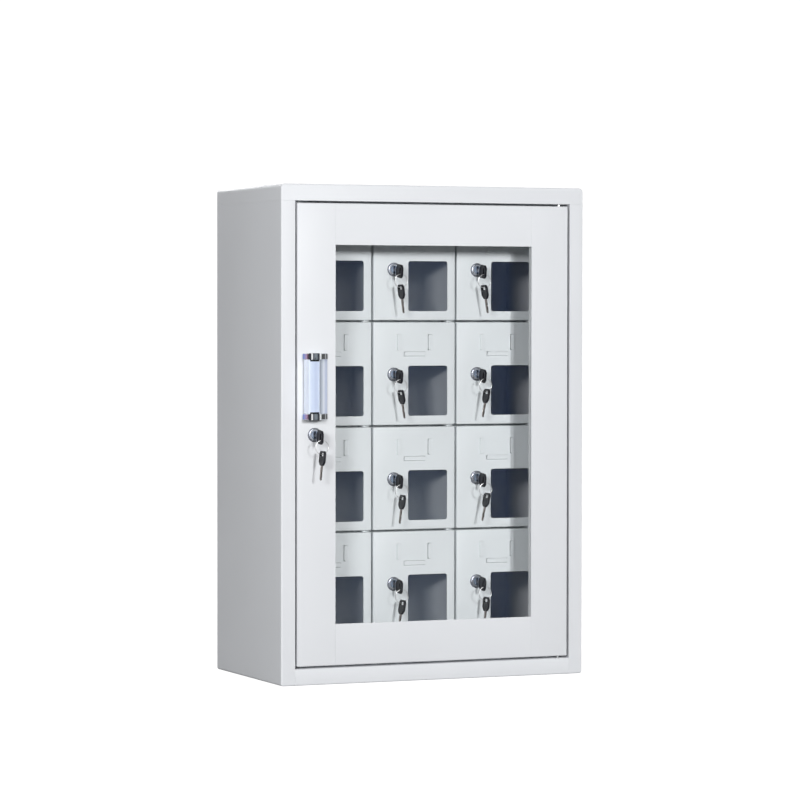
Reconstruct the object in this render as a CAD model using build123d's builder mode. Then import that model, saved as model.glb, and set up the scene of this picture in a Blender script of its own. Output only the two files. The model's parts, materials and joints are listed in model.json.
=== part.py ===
"""Cell phone locker box: a wall or table cabinet of folded sheet steel with a glazed front door and,
behind it, twelve small lockable compartments in three columns and four rows.

Frame: X to the right, Y to the back, Z up, origin at the middle of the underside. Millimetres.
"""

from build123d import *
import os
from math import cos, radians, sin, tan

# ------------------------------------------------------------------ cabinet
cabinet_width = 400.0
cabinet_height = 600.0
cabinet_depth = 220.0
cabinet_sheet = 1.2
stile_width = 18.0
top_rail_height = 20.0
bottom_rail_height = 20.0
top_bend_radius = 5.0
bottom_bend_radius = 3.0
strike_lip_width = 14.0
seat_gap = 0.3
wall_hole_radius = 4.0
wall_hole_spacing_x = 300.0
wall_hole_spacing_z = 480.0

# ------------------------------------------------------------------ glass door
door_gap = 2.5
door_depth = 16.0
door_stop_gap = 0.5
door_sheet = 1.2
door_stile_width = 49.5
door_rail_height = 50.0
door_back_lip = 8.0
door_pivot_inset = 10.0
door_pivot_depth = 6.0
door_pin_radius = 2.3
door_pin_reach = 5.0
door_hole_sides = 12
pin_clearance = 0.08
glass_thickness = 4.0
glass_overlap = 9.0
bead_width = 8.0
bead_depth = 6.0
bead_bevel = 1.5

# ------------------------------------------------------------------ compartments
column_count = 3
row_count = 4
block_side_margin = 32.0
block_top_margin = 35.6
block_bottom = 50.0
inner_setback = 61.5
inner_gap = 2.4
inner_sheet = 1.0
flange_setback = 15.0
latch_flange = 12.0
hinge_flange = 4.0
shelf_flange = 5.0
end_flange = 6.0
frame_strip_sheet = 1.2

# ------------------------------------------------------------------ small doors
small_door_depth = 10.0
small_pivot_inset = 8.0
small_pin_radius = 2.0
small_pin_reach = 4.0
small_pin_sides = 8
lug_width = 6.4
lug_thickness = 1.2
lug_recess = 1.8
window_left = 46.5
window_right = 10.5
window_top = 53.4
window_bottom = 11.2
window_corner_cut = 1.2
pane_thickness = 2.0
pane_overlap = 5.0

# card holder: three pressed tabs that stand out of the small door's face
tab_height = 1.4
tab_sheet = 0.8
side_tab_width = 5.7
side_tab_length = 20.4
side_tab_spacing = 42.2
side_tab_drop = 14.0
bottom_tab_width = 28.0
bottom_tab_height = 5.9
bottom_tab_drop = 36.3

# ------------------------------------------------------------------ cam locks
lock_head_radius = 8.5
lock_head_height = 3.0
lock_head_bevel = 1.1
lock_head_sides = 16
lock_plug_sides = 12
lock_barrel_sides = 8
lock_barrel_radius = 6.5
lock_hole_clearance = 0.15
lock_plug_radius = 5.0
lock_plug_clearance = 0.1
nut_radius = 9.8
nut_thickness = 3.0
keyway_width = 2.2
keyway_height = 8.6
tail_size = 6.0
cam_thickness = 2.0
cam_width = 12.0
cam_corner_cut = 3.0
cam_clearance = 1.2
cam_screw_radius = 4.5
cam_screw_height = 1.6
small_lock_inset = 27.0
small_lock_drop = 64.0
small_cam_reach = 24.0
door_lock_inset = 22.0
door_lock_height = 300.0
door_cam_reach = 16.0

# ------------------------------------------------------------------ keys
key_head_length = 17.5
key_head_width = 16.3
key_head_thickness = 2.6
key_head_shoulder_cut = 4.5
key_head_end_cut = 3.2
key_slot_length = 10.0
key_slot_width = 3.4
key_slot_inset = 4.3
key_slot_play = 0.75
key_blade_length = 17.8
key_blade_width = 5.5
key_blade_thickness = 1.6
key_notch_depth = 1.4
key_notch_pitch = 2.75
key_stand_off = 6.5
key_tip_play = 1.0
key_droop = 8.0
ring_radius = 8.3
ring_wire_radius = 0.5
ring_sides = 12
ring_swing = 30.0
ring_slack = 0.12
ring_slide = 0.5
# how far each ring swings to the right and each hanging key's blade to the right of straight down, in
# degrees, by row from the top and column from the left
ring_lean = [
    [-1.0, -1.0, -1.0],
    [8.0, 0.0, 12.0],
    [-1.0, 8.0, 14.0],
    [8.0, 9.0, 12.0],
]
spare_lean = [
    [6.0, 7.0, 9.0],
    [-5.0, 9.0, -10.0],
    [8.0, -7.0, -12.0],
    [-4.0, -10.0, -5.0],
]
door_ring_lean = 6.0
door_spare_lean = -5.0

# ------------------------------------------------------------------ pull handle
handle_width = 31.7
handle_height = 80.0
handle_depth = 20.0
handle_face_width = 15.2
handle_edge_inset = 6.8
handle_lock_distance = 58.0
handle_cap_height = 8.0
handle_cap_side = 2.0
handle_cap_bevel = 0.8
handle_tongue_height = 1.8
grip_inset = 0.8
grip_wall = 2.4
grip_bend_radius = 3.0

# ------------------------------------------------------------------ places worked out from the sizes
front = -cabinet_depth / 2
back = cabinet_depth / 2
left = -cabinet_width / 2
side_height = cabinet_height - top_rail_height
stile_edge = cabinet_width / 2 - stile_width
jamb_depth = door_depth + door_stop_gap + cabinet_sheet

door_left = -stile_edge + door_gap
door_right = stile_edge - door_gap
door_bottom = bottom_rail_height + door_gap
door_top = side_height - door_gap
door_pivot_x = door_right - door_pivot_inset
door_pivot_y = front + door_pivot_depth
door_window_width = door_right - door_left - 2 * door_stile_width
door_window_height = door_top - door_bottom - 2 * door_rail_height
door_window_z = (door_bottom + door_top) / 2
glass_back = front + door_sheet + glass_thickness

block_left = left + block_side_margin
block_right = -block_left
block_top = cabinet_height - block_top_margin
column_pitch = (block_right - block_left) / column_count
row_pitch = (block_top - block_bottom) / row_count
inner_face = front + inner_setback
flange_front = inner_face + flange_setback
flange_back = flange_front + inner_sheet
back_panel_front = back - 2 * cabinet_sheet
small_door_width = column_pitch - inner_gap
small_door_height = row_pitch - inner_gap
small_pivot_x = small_door_width - small_pivot_inset
small_pivot_y = small_door_depth / 2
window_width = small_door_width - window_left - window_right
window_height = small_door_height - window_top - window_bottom
window_x = window_left + window_width / 2
window_z = window_bottom + window_height / 2
small_lock_z = small_door_height - small_lock_drop
small_barrel = flange_setback + inner_sheet + cam_clearance
keyway_depth = key_blade_length - key_stand_off + key_tip_play

door_lock_x = door_left + door_lock_inset
door_barrel = jamb_depth + cam_clearance

CORNER = (Align.MIN, Align.MIN, Align.MIN)

os.makedirs("parts", exist_ok=True)


def save(label, *pieces):
    """Writes one node, of one solid or of several separate ones."""
    node = pieces[0] if len(pieces) == 1 else Compound(label=label, children=list(pieces))
    node.label = label
    export_step(node, f"parts/{label}.step")


def block(low, high):
    """Adds a square-edged block between two corners to the part being built."""
    size = [b - a for a, b in zip(low, high)]
    with Locations(low):
        return Box(*size, align=CORNER)


def folded_pan(low, high, sheet):
    """A tray folded from sheet, open at the back."""
    with BuildPart() as pan:
        block(low, high)
        offset(amount=-sheet, openings=pan.faces().sort_by(Axis.Y)[-1])
    return pan.part


# ------------------------------------------------------------------ cabinet
def make_side():
    """Left side: a pan with its stile at the front, a return at the back and a flange below."""
    with BuildPart() as side:
        block((left, front, 0), (left + stile_width, back, side_height))
        lower_edges = side.edges().filter_by(Axis.Y).group_by(Axis.Z)[0]
        fillet(lower_edges.sort_by(Axis.X)[0], bottom_bend_radius)
        inner = side.faces().sort_by(Axis.X)[-1]
        upper = side.faces().sort_by(Axis.Z)[-1]
        offset(amount=-cabinet_sheet, openings=[inner, upper])
        block(
            (-stile_edge - cabinet_sheet, front, bottom_rail_height - cabinet_sheet),
            (-stile_edge, front + jamb_depth, side_height),
        )
    return side.part


def make_strike_lip():
    """The lip behind the latch stile: the door stops against it and the cam turns behind it."""
    with BuildPart() as lip:
        block(
            (-stile_edge, front + jamb_depth - cabinet_sheet, bottom_rail_height),
            (-stile_edge + strike_lip_width, front + jamb_depth, side_height),
        )
    return lip.part


def make_bottom():
    """Bottom panel: a channel with the front rail, its sill, and the rear rail."""
    with BuildPart() as bottom:
        block((-stile_edge, front, 0), (stile_edge, back, bottom_rail_height))
        ends = bottom.faces().sort_by(Axis.X)
        upper = bottom.faces().sort_by(Axis.Z)[-1]
        offset(amount=-cabinet_sheet, openings=[ends[0], ends[-1], upper])
        block(
            (-stile_edge, front, bottom_rail_height - cabinet_sheet),
            (stile_edge, front + jamb_depth, bottom_rail_height),
        )
        with BuildSketch(Plane.XY.offset(bottom_rail_height)):
            with Locations((door_pivot_x, door_pivot_y)):
                RegularPolygon(door_pin_radius, door_hole_sides, major_radius=False)
        extrude(amount=-cabinet_sheet, mode=Mode.SUBTRACT)
    return bottom.part


def make_top_cap():
    """Top cap: a lid whose skirt is the top rail, with a soffit that carries the upper pivot."""
    with BuildPart() as cap:
        block((left, front, side_height), (-left, back, cabinet_height))
        ridge = cap.edges().filter_by(Axis.Y).group_by(Axis.Z)[-1]
        fillet(ridge, top_bend_radius)
        offset(amount=-cabinet_sheet, openings=cap.faces().sort_by(Axis.Z)[0])
        block(
            (-stile_edge - cabinet_sheet, front, side_height),
            (stile_edge + cabinet_sheet, front + jamb_depth, side_height + cabinet_sheet),
        )
        with BuildSketch(Plane.XY.offset(side_height)):
            with Locations((door_pivot_x, door_pivot_y)):
                RegularPolygon(door_pin_radius, door_hole_sides, major_radius=False)
        extrude(amount=cabinet_sheet, mode=Mode.SUBTRACT)
    return cap.part


def make_back_panel():
    """Back panel, inside the rear returns, with four holes for wall bolts."""
    with BuildPart() as panel:
        block(
            (left + cabinet_sheet + seat_gap, back_panel_front, cabinet_sheet + seat_gap),
            (
                -left - cabinet_sheet - seat_gap,
                back - cabinet_sheet,
                cabinet_height - cabinet_sheet - seat_gap,
            ),
        )
        corners = panel.edges().filter_by(Axis.Y).group_by(Axis.Z)
        chamfer(corners[0], bottom_bend_radius)
        chamfer(corners[-1], top_bend_radius)
        with Locations(Plane.XZ.offset(-back_panel_front)):
            with Locations((0, cabinet_height / 2)):
                with GridLocations(wall_hole_spacing_x, wall_hole_spacing_z, 2, 2):
                    Hole(radius=wall_hole_radius)
    return panel.part


side = make_side()
save("cabinet_body", side, make_strike_lip(), mirror(side, about=Plane.YZ), make_bottom())
save("top_cap", make_top_cap())
save("back_panel", make_back_panel())


# ------------------------------------------------------------------ face frame and compartments
def make_inner_frame():
    """Four folded strips that fill the space between the cabinet and the block of compartments."""
    depth_range = (inner_face, flange_front)
    reach_x = cabinet_width / 2 - cabinet_sheet - seat_gap
    low_z = cabinet_sheet + seat_gap
    high_z = cabinet_height - cabinet_sheet - seat_gap
    edge_x = block_right + inner_gap / 2
    edges_z = (block_bottom - inner_gap / 2, block_top + inner_gap / 2)
    side_z = (bottom_bend_radius, cabinet_height - top_bend_radius)
    spans = [
        (-reach_x, -edge_x, *side_z),
        (edge_x, reach_x, *side_z),
        (-edge_x, edge_x, low_z, edges_z[0]),
        (-edge_x, edge_x, edges_z[1], high_z),
    ]
    return [
        folded_pan((x0, depth_range[0], z0), (x1, depth_range[1], z1), frame_strip_sheet)
        for x0, x1, z0, z1 in spans
    ]


def make_divider(index):
    """The upright wall between two columns."""
    x = block_left + index * column_pitch
    with BuildPart() as wall:
        block(
            (x - inner_sheet / 2, flange_back, block_bottom),
            (x + inner_sheet / 2, back_panel_front - seat_gap, block_top),
        )
    return wall.part


def make_front_flange(index):
    """The upright flange at one side of a column's doors; the part that the cams catch is wider."""
    x = block_left + index * column_pitch
    reach_left = end_flange if index == 0 else hinge_flange
    reach_right = end_flange if index == column_count else latch_flange
    with BuildPart() as flange:
        block(
            (x - reach_left, flange_front, block_bottom - shelf_flange),
            (x + reach_right, flange_back, block_top + shelf_flange),
        )
    return flange.part


def make_shelf(column, level):
    """One shelf, and its front flange with the lug that holds a pivot pin. The outer columns' shelves
    reach the cabinet's sides."""
    x = block_left + column * column_pitch
    z = block_bottom + level * row_pitch
    pin_x = x + inner_gap / 2 + small_pivot_x
    shelf_left = left + cabinet_sheet + seat_gap if column == 0 else x + inner_sheet / 2
    shelf_right = x + column_pitch - inner_sheet / 2
    if column == column_count - 1:
        shelf_right = -left - cabinet_sheet - seat_gap
    with BuildPart() as shelf:
        block(
            (shelf_left, flange_back, z - inner_sheet / 2),
            (shelf_right, back_panel_front - seat_gap, z + inner_sheet / 2),
        )
    with BuildPart() as flange:
        block(
            (x + latch_flange, flange_front, z - shelf_flange),
            (x + column_pitch - hinge_flange, flange_back, z + shelf_flange),
        )
        block(
            (pin_x - lug_width / 2, inner_face + lug_recess, z - lug_thickness / 2),
            (pin_x + lug_width / 2, flange_front, z + lug_thickness / 2),
        )
        with BuildSketch(Plane.XY.offset(z)):
            with Locations((pin_x, inner_face + small_pivot_y)):
                RegularPolygon(small_pin_radius, small_pin_sides)
        extrude(amount=lug_thickness, both=True, mode=Mode.SUBTRACT)
    return [shelf.part, flange.part]


def make_grid():
    """All walls, flanges and shelves of the compartments, as separate welded sheets."""
    pieces = [make_divider(index) for index in range(1, column_count)]
    pieces += [make_front_flange(index) for index in range(column_count + 1)]
    for column in range(column_count):
        for level in range(row_count + 1):
            pieces += make_shelf(column, level)
    return pieces


def make_door_pin(low, high):
    """A round upright pin that the glass door turns on."""
    with BuildPart() as pin:
        with BuildSketch(Plane.XY.offset(low)):
            with Locations((door_pivot_x, door_pivot_y)):
                Circle(door_pin_radius)
        extrude(amount=high - low)
    return pin.part


def make_small_pin(place, low, high):
    """A small door's upright pin, drawn with few sides because the box holds so many."""
    with BuildPart() as pin:
        with BuildSketch(Plane.XY.offset(low)):
            with Locations(place):
                RegularPolygon(small_pin_radius, small_pin_sides)
        extrude(amount=high - low)
    return pin.part


def make_pivot_pins():
    """Two pins for the glass door, and one at each lug for the small doors above and below it."""
    spans = [
        (bottom_rail_height - cabinet_sheet, door_bottom + door_pin_reach),
        (door_top - door_pin_reach, side_height + cabinet_sheet),
    ]
    pins = [make_door_pin(low, high) for low, high in spans]
    for column in range(column_count):
        x = block_left + column * column_pitch + inner_gap / 2 + small_pivot_x
        at_lug = (x, inner_face + small_pivot_y)
        for level in range(row_count + 1):
            z = block_bottom + level * row_pitch
            down = lug_thickness / 2 if level == 0 else inner_gap / 2 + small_pin_reach
            up = lug_thickness / 2 if level == row_count else inner_gap / 2 + small_pin_reach
            pins.append(make_small_pin(at_lug, z - down, z + up))
    return pins


save("inner_frame", *make_inner_frame())
save("compartment_grid", *make_grid())
save("pivot_pins", *make_pivot_pins())


# ------------------------------------------------------------------ cam lock, on a face at y = 0
def make_lock_housing(barrel, sheet):
    """Head, threaded barrel and the nut behind the sheet, bored for the plug. The lock has few
    sides because the box holds thirteen of them."""
    with BuildPart() as housing:
        with BuildSketch(Plane.XZ):
            RegularPolygon(lock_head_radius, lock_head_sides)
        extrude(amount=lock_head_height)
        chamfer(housing.faces().sort_by(Axis.Y)[0].edges(), lock_head_bevel)
        with BuildSketch(Plane.XZ):
            RegularPolygon(lock_barrel_radius, lock_barrel_sides)
        extrude(amount=-barrel)
        with BuildSketch(Plane.XZ.offset(-sheet)):
            RegularPolygon(nut_radius, 6)
        extrude(amount=-nut_thickness)
        with BuildSketch(Plane.XZ.offset(lock_head_height)):
            bore_radius = lock_plug_radius + lock_plug_clearance
            RegularPolygon(bore_radius, lock_barrel_sides, major_radius=False)
        extrude(amount=-lock_head_height - barrel, mode=Mode.SUBTRACT)
    return housing.part


def make_plug(barrel):
    """The turning plug with its keyway and the square tail that drives the cam."""
    with BuildPart() as plug:
        with BuildSketch(Plane.XZ.offset(lock_head_height)):
            RegularPolygon(lock_plug_radius, lock_plug_sides)
        extrude(amount=-lock_head_height - barrel)
        with BuildSketch(Plane.XZ.offset(lock_head_height)):
            Rectangle(keyway_width, keyway_height)
        extrude(amount=-keyway_depth, mode=Mode.SUBTRACT)
        with BuildSketch(Plane.XZ.offset(-barrel)):
            Rectangle(tail_size, tail_size)
        extrude(amount=-cam_thickness)
    return plug.part


def make_cam(barrel, reach):
    """The cam arm, pointing down when the lock is open."""
    with BuildPart() as cam:
        with BuildSketch(Plane.XZ.offset(-barrel)):
            with Locations((0, (cam_width / 2 - reach) / 2)):
                Rectangle(cam_width, reach + cam_width / 2)
            chamfer(vertices().group_by(Axis.Y)[0], cam_corner_cut)
            Rectangle(tail_size, tail_size, mode=Mode.SUBTRACT)
        extrude(amount=-cam_thickness)
    return cam.part


def make_cam_screw(barrel):
    """Hexagon screw that keeps the cam on the tail."""
    with BuildPart() as screw:
        with BuildSketch(Plane.XZ.offset(-barrel - cam_thickness)):
            RegularPolygon(cam_screw_radius, 6)
        extrude(amount=-cam_screw_height)
    return screw.part


# ------------------------------------------------------------------ keys
def make_key(plane):
    """Moulded head with a ring slot, and a cut blade. The plane's origin is where the blade enters
    the head, and its X axis points to the head's far end."""
    half = key_head_width / 2
    slot_x = key_head_length - key_slot_inset
    with BuildPart() as head:
        with BuildSketch(plane):
            with BuildLine():
                Polyline(
                    (0, -half + key_head_shoulder_cut),
                    (key_head_shoulder_cut, -half),
                    (key_head_length - key_head_end_cut, -half),
                    (key_head_length, -half + key_head_end_cut),
                    (key_head_length, half - key_head_end_cut),
                    (key_head_length - key_head_end_cut, half),
                    (key_head_shoulder_cut, half),
                    (0, half - key_head_shoulder_cut),
                    close=True,
                )
            make_face()
            with Locations((slot_x, 0)):
                Rectangle(key_slot_width, key_slot_length, mode=Mode.SUBTRACT)
        extrude(amount=key_head_thickness / 2, both=True)
    edge = key_blade_width / 2
    notch_edge = edge - key_notch_depth
    tip = -key_blade_length
    with BuildPart() as blade:
        with BuildSketch(plane):
            with BuildLine():
                Polyline(
                    (0, -edge),
                    (tip + key_notch_pitch, -edge),
                    (tip, notch_edge),
                    (tip + key_notch_pitch, edge),
                    (tip + 2 * key_notch_pitch, notch_edge),
                    (tip + 3 * key_notch_pitch, edge),
                    (0, edge),
                    close=True,
                )
            make_face()
        extrude(amount=key_blade_thickness / 2, both=True)
    return [head.part, blade.part]


# the inserted key droops a little in its keyway; the ring hangs in the lower end of its slot, near
# the slot's outer side
droop_cos = cos(radians(key_droop))
droop_sin = sin(radians(key_droop))
key_origin = (0, -lock_head_height - key_stand_off * droop_cos, -key_stand_off * droop_sin)
key_plane = Plane(origin=key_origin, x_dir=(0, -droop_cos, -droop_sin), z_dir=(1, 0, 0))
slot_seat = key_plane.from_local_coords((key_head_length - key_slot_inset + ring_slide, 0, 0))
steepest = radians(ring_swing + max(max(row) for row in ring_lean))
ring_room = key_head_thickness / 2 * tan(steepest) + ring_wire_radius / cos(steepest) + ring_slack
ring_drop = key_slot_length / 2 - ring_room
hang_y = slot_seat.Y + ring_drop * droop_sin
hang_z = slot_seat.Z - ring_drop * droop_cos
ring_axis = Axis((0, hang_y, hang_z), (0, -1, 0))


def make_ring(lean):
    """The wire ring, parallel to the door, through the slots of both keys. A straight side of its
    outline lies in each slot. It leans sideways about the upper one by a few degrees."""
    with BuildPart() as ring:
        with BuildSketch(Plane.XZ.offset(-hang_y)):
            with Locations((0, hang_z - ring_radius)):
                for reach, mode in ((ring_wire_radius, Mode.ADD), (-ring_wire_radius, Mode.SUBTRACT)):
                    RegularPolygon(
                        ring_radius + reach,
                        ring_sides,
                        major_radius=False,
                        rotation=180 / ring_sides,
                        mode=mode,
                    )
        extrude(amount=ring_wire_radius, both=True)
    return ring.part.rotate(ring_axis, lean)


def make_spare_key(ring_swung, lean):
    """The key that hangs from the foot of the swung ring by its slot, and leans by a few degrees."""
    foot_x = 2 * ring_radius * sin(radians(ring_swung))
    foot_z = hang_z - 2 * ring_radius * cos(radians(ring_swung))
    slot_rise = key_head_length - key_slot_inset
    hang = key_slot_width / 2 - ring_wire_radius - key_slot_play
    lean_x = sin(radians(lean))
    lean_z = cos(radians(lean))
    origin = (
        foot_x + (slot_rise + hang) * lean_x,
        hang_y,
        foot_z - (slot_rise + hang) * lean_z,
    )
    plane = Plane(origin=origin, x_dir=(-lean_x, 0, lean_z), z_dir=(lean_z, 0, lean_x))
    return make_key(plane)


def make_lock_core(barrel, reach):
    """Everything that turns with the key."""
    pieces = [make_plug(barrel), make_cam(barrel, reach), make_cam_screw(barrel)]
    return pieces + make_key(key_plane)


# ------------------------------------------------------------------ small doors, from a lower corner
def make_card_tab(centre_x, centre_z, width, height, closed_edge):
    """A tab pressed out of the face: a strip stands off it and joins it along one edge."""
    x0 = centre_x - width / 2
    x1 = centre_x + width / 2
    z0 = centre_z - height / 2
    z1 = centre_z + height / 2
    block((x0, -tab_height, z0), (x1, -tab_height + tab_sheet, z1))
    if closed_edge == "left":
        x1 = x0 + tab_sheet
    elif closed_edge == "right":
        x0 = x1 - tab_sheet
    else:
        z1 = z0 + tab_sheet
    block((x0, -tab_height, z0), (x1, inner_sheet / 2, z1))


def make_small_door():
    """Folded door panel with its window, lock hole, pivot holes and card tabs."""
    with BuildPart() as panel:
        block((0, 0, 0), (small_door_width, small_door_depth, small_door_height))
        offset(amount=-inner_sheet, openings=panel.faces().sort_by(Axis.Y)[-1])
        with BuildSketch(Plane.XZ):
            with Locations((window_x, window_z)):
                Rectangle(window_width, window_height)
            chamfer(vertices(), window_corner_cut)
            with Locations((small_lock_inset, small_lock_z)):
                hole_radius = lock_barrel_radius + lock_hole_clearance
                RegularPolygon(hole_radius, lock_barrel_sides)
        extrude(amount=-inner_sheet, mode=Mode.SUBTRACT)
        with BuildSketch(Plane.XY):
            with Locations((small_pivot_x, small_pivot_y)):
                hole_radius = small_pin_radius + pin_clearance
                RegularPolygon(hole_radius, small_pin_sides, major_radius=False)
        extrude(amount=small_door_height, mode=Mode.SUBTRACT)
        middle = small_door_width / 2
        tab_z = small_door_height - side_tab_drop - side_tab_length / 2
        bottom_z = small_door_height - bottom_tab_drop - bottom_tab_height / 2
        reach = side_tab_spacing / 2
        make_card_tab(middle - reach, tab_z, side_tab_width, side_tab_length, "left")
        make_card_tab(middle + reach, tab_z, side_tab_width, side_tab_length, "right")
        make_card_tab(middle, bottom_z, bottom_tab_width, bottom_tab_height, "bottom")
    return panel.part


def make_window_pane():
    """Clear pane against the back of the small door's face."""
    with BuildPart() as pane:
        with BuildSketch(Plane.XZ.offset(-inner_sheet)):
            with Locations((window_x, window_z)):
                Rectangle(window_width + 2 * pane_overlap, window_height + 2 * pane_overlap)
        extrude(amount=-pane_thickness)
    return pane.part


panel = make_small_door()
pane = make_window_pane()
housing = make_lock_housing(small_barrel, inner_sheet)
core = make_lock_core(small_barrel, small_cam_reach)

for row in range(row_count):
    for column in range(column_count):
        name = f"{row + 1}{column + 1}"
        corner = (
            block_left + column * column_pitch + inner_gap / 2,
            inner_face,
            block_bottom + (row_count - 1 - row) * row_pitch + inner_gap / 2,
        )
        at_door = Location(corner)
        at_lock = Location((corner[0] + small_lock_inset, corner[1], corner[2] + small_lock_z))
        save(f"small_door_{name}", panel.moved(at_door), housing.moved(at_lock))
        save(f"window_{name}", pane.moved(at_door))
        save(f"lock_core_{name}", *[piece.moved(at_lock) for piece in core])
        ring_swung = ring_lean[row][column]
        spare = [make_ring(ring_swung)] + make_spare_key(ring_swung, spare_lean[row][column])
        save(f"spare_key_{name}", *[piece.moved(at_lock) for piece in spare])


# ------------------------------------------------------------------ glass door
def make_door_stile(low_x, high_x, hinged):
    """A full-height folded stile, closed at its outer side and both ends."""
    with BuildPart() as stile:
        block((low_x, front, door_bottom), (high_x, front + door_depth, door_top))
        sides = stile.faces().sort_by(Axis.X)
        window_side = sides[0] if hinged else sides[-1]
        rear = stile.faces().sort_by(Axis.Y)[-1]
        offset(amount=-door_sheet, openings=[window_side, rear])
        lip_x = high_x - door_back_lip if hinged else low_x
        block(
            (lip_x, front + door_depth - door_sheet, door_bottom),
            (lip_x + door_back_lip, front + door_depth, door_top),
        )
        if hinged:
            with BuildSketch(Plane.XY.offset(door_bottom)):
                with Locations((door_pivot_x, door_pivot_y)):
                    hole_radius = door_pin_radius + pin_clearance
                    RegularPolygon(hole_radius, door_hole_sides, major_radius=False)
            extrude(amount=door_top - door_bottom, mode=Mode.SUBTRACT)
        else:
            with BuildSketch(Plane.XZ.offset(-front)):
                with Locations((door_lock_x, door_lock_height)):
                    hole_radius = lock_barrel_radius + lock_hole_clearance
                    RegularPolygon(hole_radius, lock_barrel_sides)
            extrude(amount=-door_sheet, mode=Mode.SUBTRACT)
    return stile.part


def make_door_rail(low_z, high_z, upper):
    """A rail butted between the stiles, folded back along its outer edge."""
    x = door_window_width / 2
    with BuildPart() as rail:
        block((-x, front, low_z), (x, front + door_sheet, high_z))
        outer_z = high_z - door_sheet if upper else low_z
        block((-x, front, outer_z), (x, front + door_depth, outer_z + door_sheet))
        lip_z = high_z - door_back_lip if upper else low_z
        block(
            (-x, front + door_depth - door_sheet, lip_z),
            (x, front + door_depth, lip_z + door_back_lip),
        )
    return rail.part


def make_glass():
    """The glass pane, against the back of the door's face."""
    x = door_window_width / 2 + glass_overlap
    z = door_window_height / 2 + glass_overlap
    with BuildPart() as glass:
        block((-x, front + door_sheet, door_window_z - z), (x, glass_back, door_window_z + z))
    return glass.part


def make_beads():
    """Four glazing beads that hold the glass from behind."""
    x = door_window_width / 2 + glass_overlap
    z = door_window_height / 2 + glass_overlap
    spans = [
        (-x, -x + bead_width, -z, z),
        (x - bead_width, x, -z, z),
        (-x + bead_width, x - bead_width, -z, -z + bead_width),
        (-x + bead_width, x - bead_width, z - bead_width, z),
    ]
    beads = []
    for x0, x1, z0, z1 in spans:
        with BuildPart() as bead:
            block(
                (x0, glass_back, door_window_z + z0),
                (x1, glass_back + bead_depth, door_window_z + z1),
            )
            chamfer(bead.edges().group_by(Axis.Y)[-1], bead_bevel)
        beads.append(bead.part)
    return beads


# ------------------------------------------------------------------ pull handle
handle_left = door_left + handle_edge_inset
handle_right = handle_left + handle_width
handle_front = front - handle_depth
handle_bottom = door_lock_height + handle_lock_distance - handle_height / 2
handle_top = handle_bottom + handle_height


def make_handle_cap(low_z, tongue_z):
    """Solid end cap with bevelled edges, and a tongue that laps over the grip."""
    with BuildPart() as cap:
        with BuildSketch(Plane.XY.offset(low_z)):
            with BuildLine():
                Polyline(
                    (handle_left, front),
                    (handle_left, handle_front),
                    (handle_left + handle_face_width, handle_front),
                    (handle_right, front - handle_cap_side),
                    (handle_right, front),
                    close=True,
                )
            make_face()
        extrude(amount=handle_cap_height)
        outline = cap.edges().filter_by(Axis.Z).group_by(Axis.Y)
        chamfer(outline[0], handle_cap_bevel)
        tongue_inset = 2 * handle_cap_bevel
        block(
            (handle_left + tongue_inset, handle_front, tongue_z),
            (
                handle_left + handle_face_width - tongue_inset,
                handle_front + grip_inset,
                tongue_z + handle_tongue_height,
            ),
        )
    return cap.part


def make_grip():
    """Hooked grip between the caps: a base on the door, a side wall and a front lip."""
    x0 = handle_left + grip_inset
    y0 = handle_front + grip_inset
    x1 = handle_left + handle_face_width
    x2 = handle_right - grip_inset
    with BuildPart() as grip:
        with BuildSketch(Plane.XY.offset(handle_bottom + handle_cap_height)):
            with BuildLine():
                Polyline(
                    (x2, front),
                    (x0, front),
                    (x0, y0),
                    (x1, y0),
                    (x1, y0 + grip_wall),
                    (x0 + grip_wall, y0 + grip_wall),
                    (x0 + grip_wall, front - grip_wall),
                    (x2, front - grip_wall),
                    close=True,
                )
            make_face()
        extrude(amount=handle_height - 2 * handle_cap_height)
        corners = grip.edges().filter_by(Axis.Z)
        outer_corner = corners.group_by(Axis.Y)[0].sort_by(Axis.X)[0]
        fillet(outer_corner, grip_bend_radius)
    return grip.part


at_door_lock = Location((door_lock_x, front, door_lock_height))
door_window_half = door_window_width / 2
door_pieces = [
    make_door_stile(door_left, -door_window_half, hinged=False),
    make_door_stile(door_window_half, door_right, hinged=True),
    make_door_rail(door_bottom, door_bottom + door_rail_height, upper=False),
    make_door_rail(door_top - door_rail_height, door_top, upper=True),
]
door_pieces += make_beads()
door_pieces.append(make_lock_housing(door_barrel, door_sheet).moved(at_door_lock))
save("cabinet_door", *door_pieces)
save("door_glass", make_glass())
lower_tongue_z = handle_bottom + handle_cap_height
upper_tongue_z = handle_top - handle_cap_height - handle_tongue_height
save(
    "handle_caps",
    make_handle_cap(handle_bottom, lower_tongue_z),
    make_handle_cap(handle_top - handle_cap_height, upper_tongue_z),
)
save("handle_grip", make_grip())
door_core = make_lock_core(door_barrel, door_cam_reach)
save("door_lock_core", *[piece.moved(at_door_lock) for piece in door_core])
door_spare = [make_ring(door_ring_lean)] + make_spare_key(door_ring_lean, door_spare_lean)
save("door_spare_key", *[piece.moved(at_door_lock) for piece in door_spare])
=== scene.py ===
"""The finished look of a cell phone locker box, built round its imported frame.

The cabinet is folded from powder coated sheet steel. A glazed door with a cam lock and a pull handle
closes it, and behind the glass stand twelve small locked doors in three columns and four rows. Every
length is in metres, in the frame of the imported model: X to the right, Y to the back, Z up.
"""

from __future__ import annotations

import json
import logging
import math
from collections.abc import Sequence
from dataclasses import dataclass
from enum import Enum

import bmesh
import bpy
from mathutils import Matrix, Vector

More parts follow.
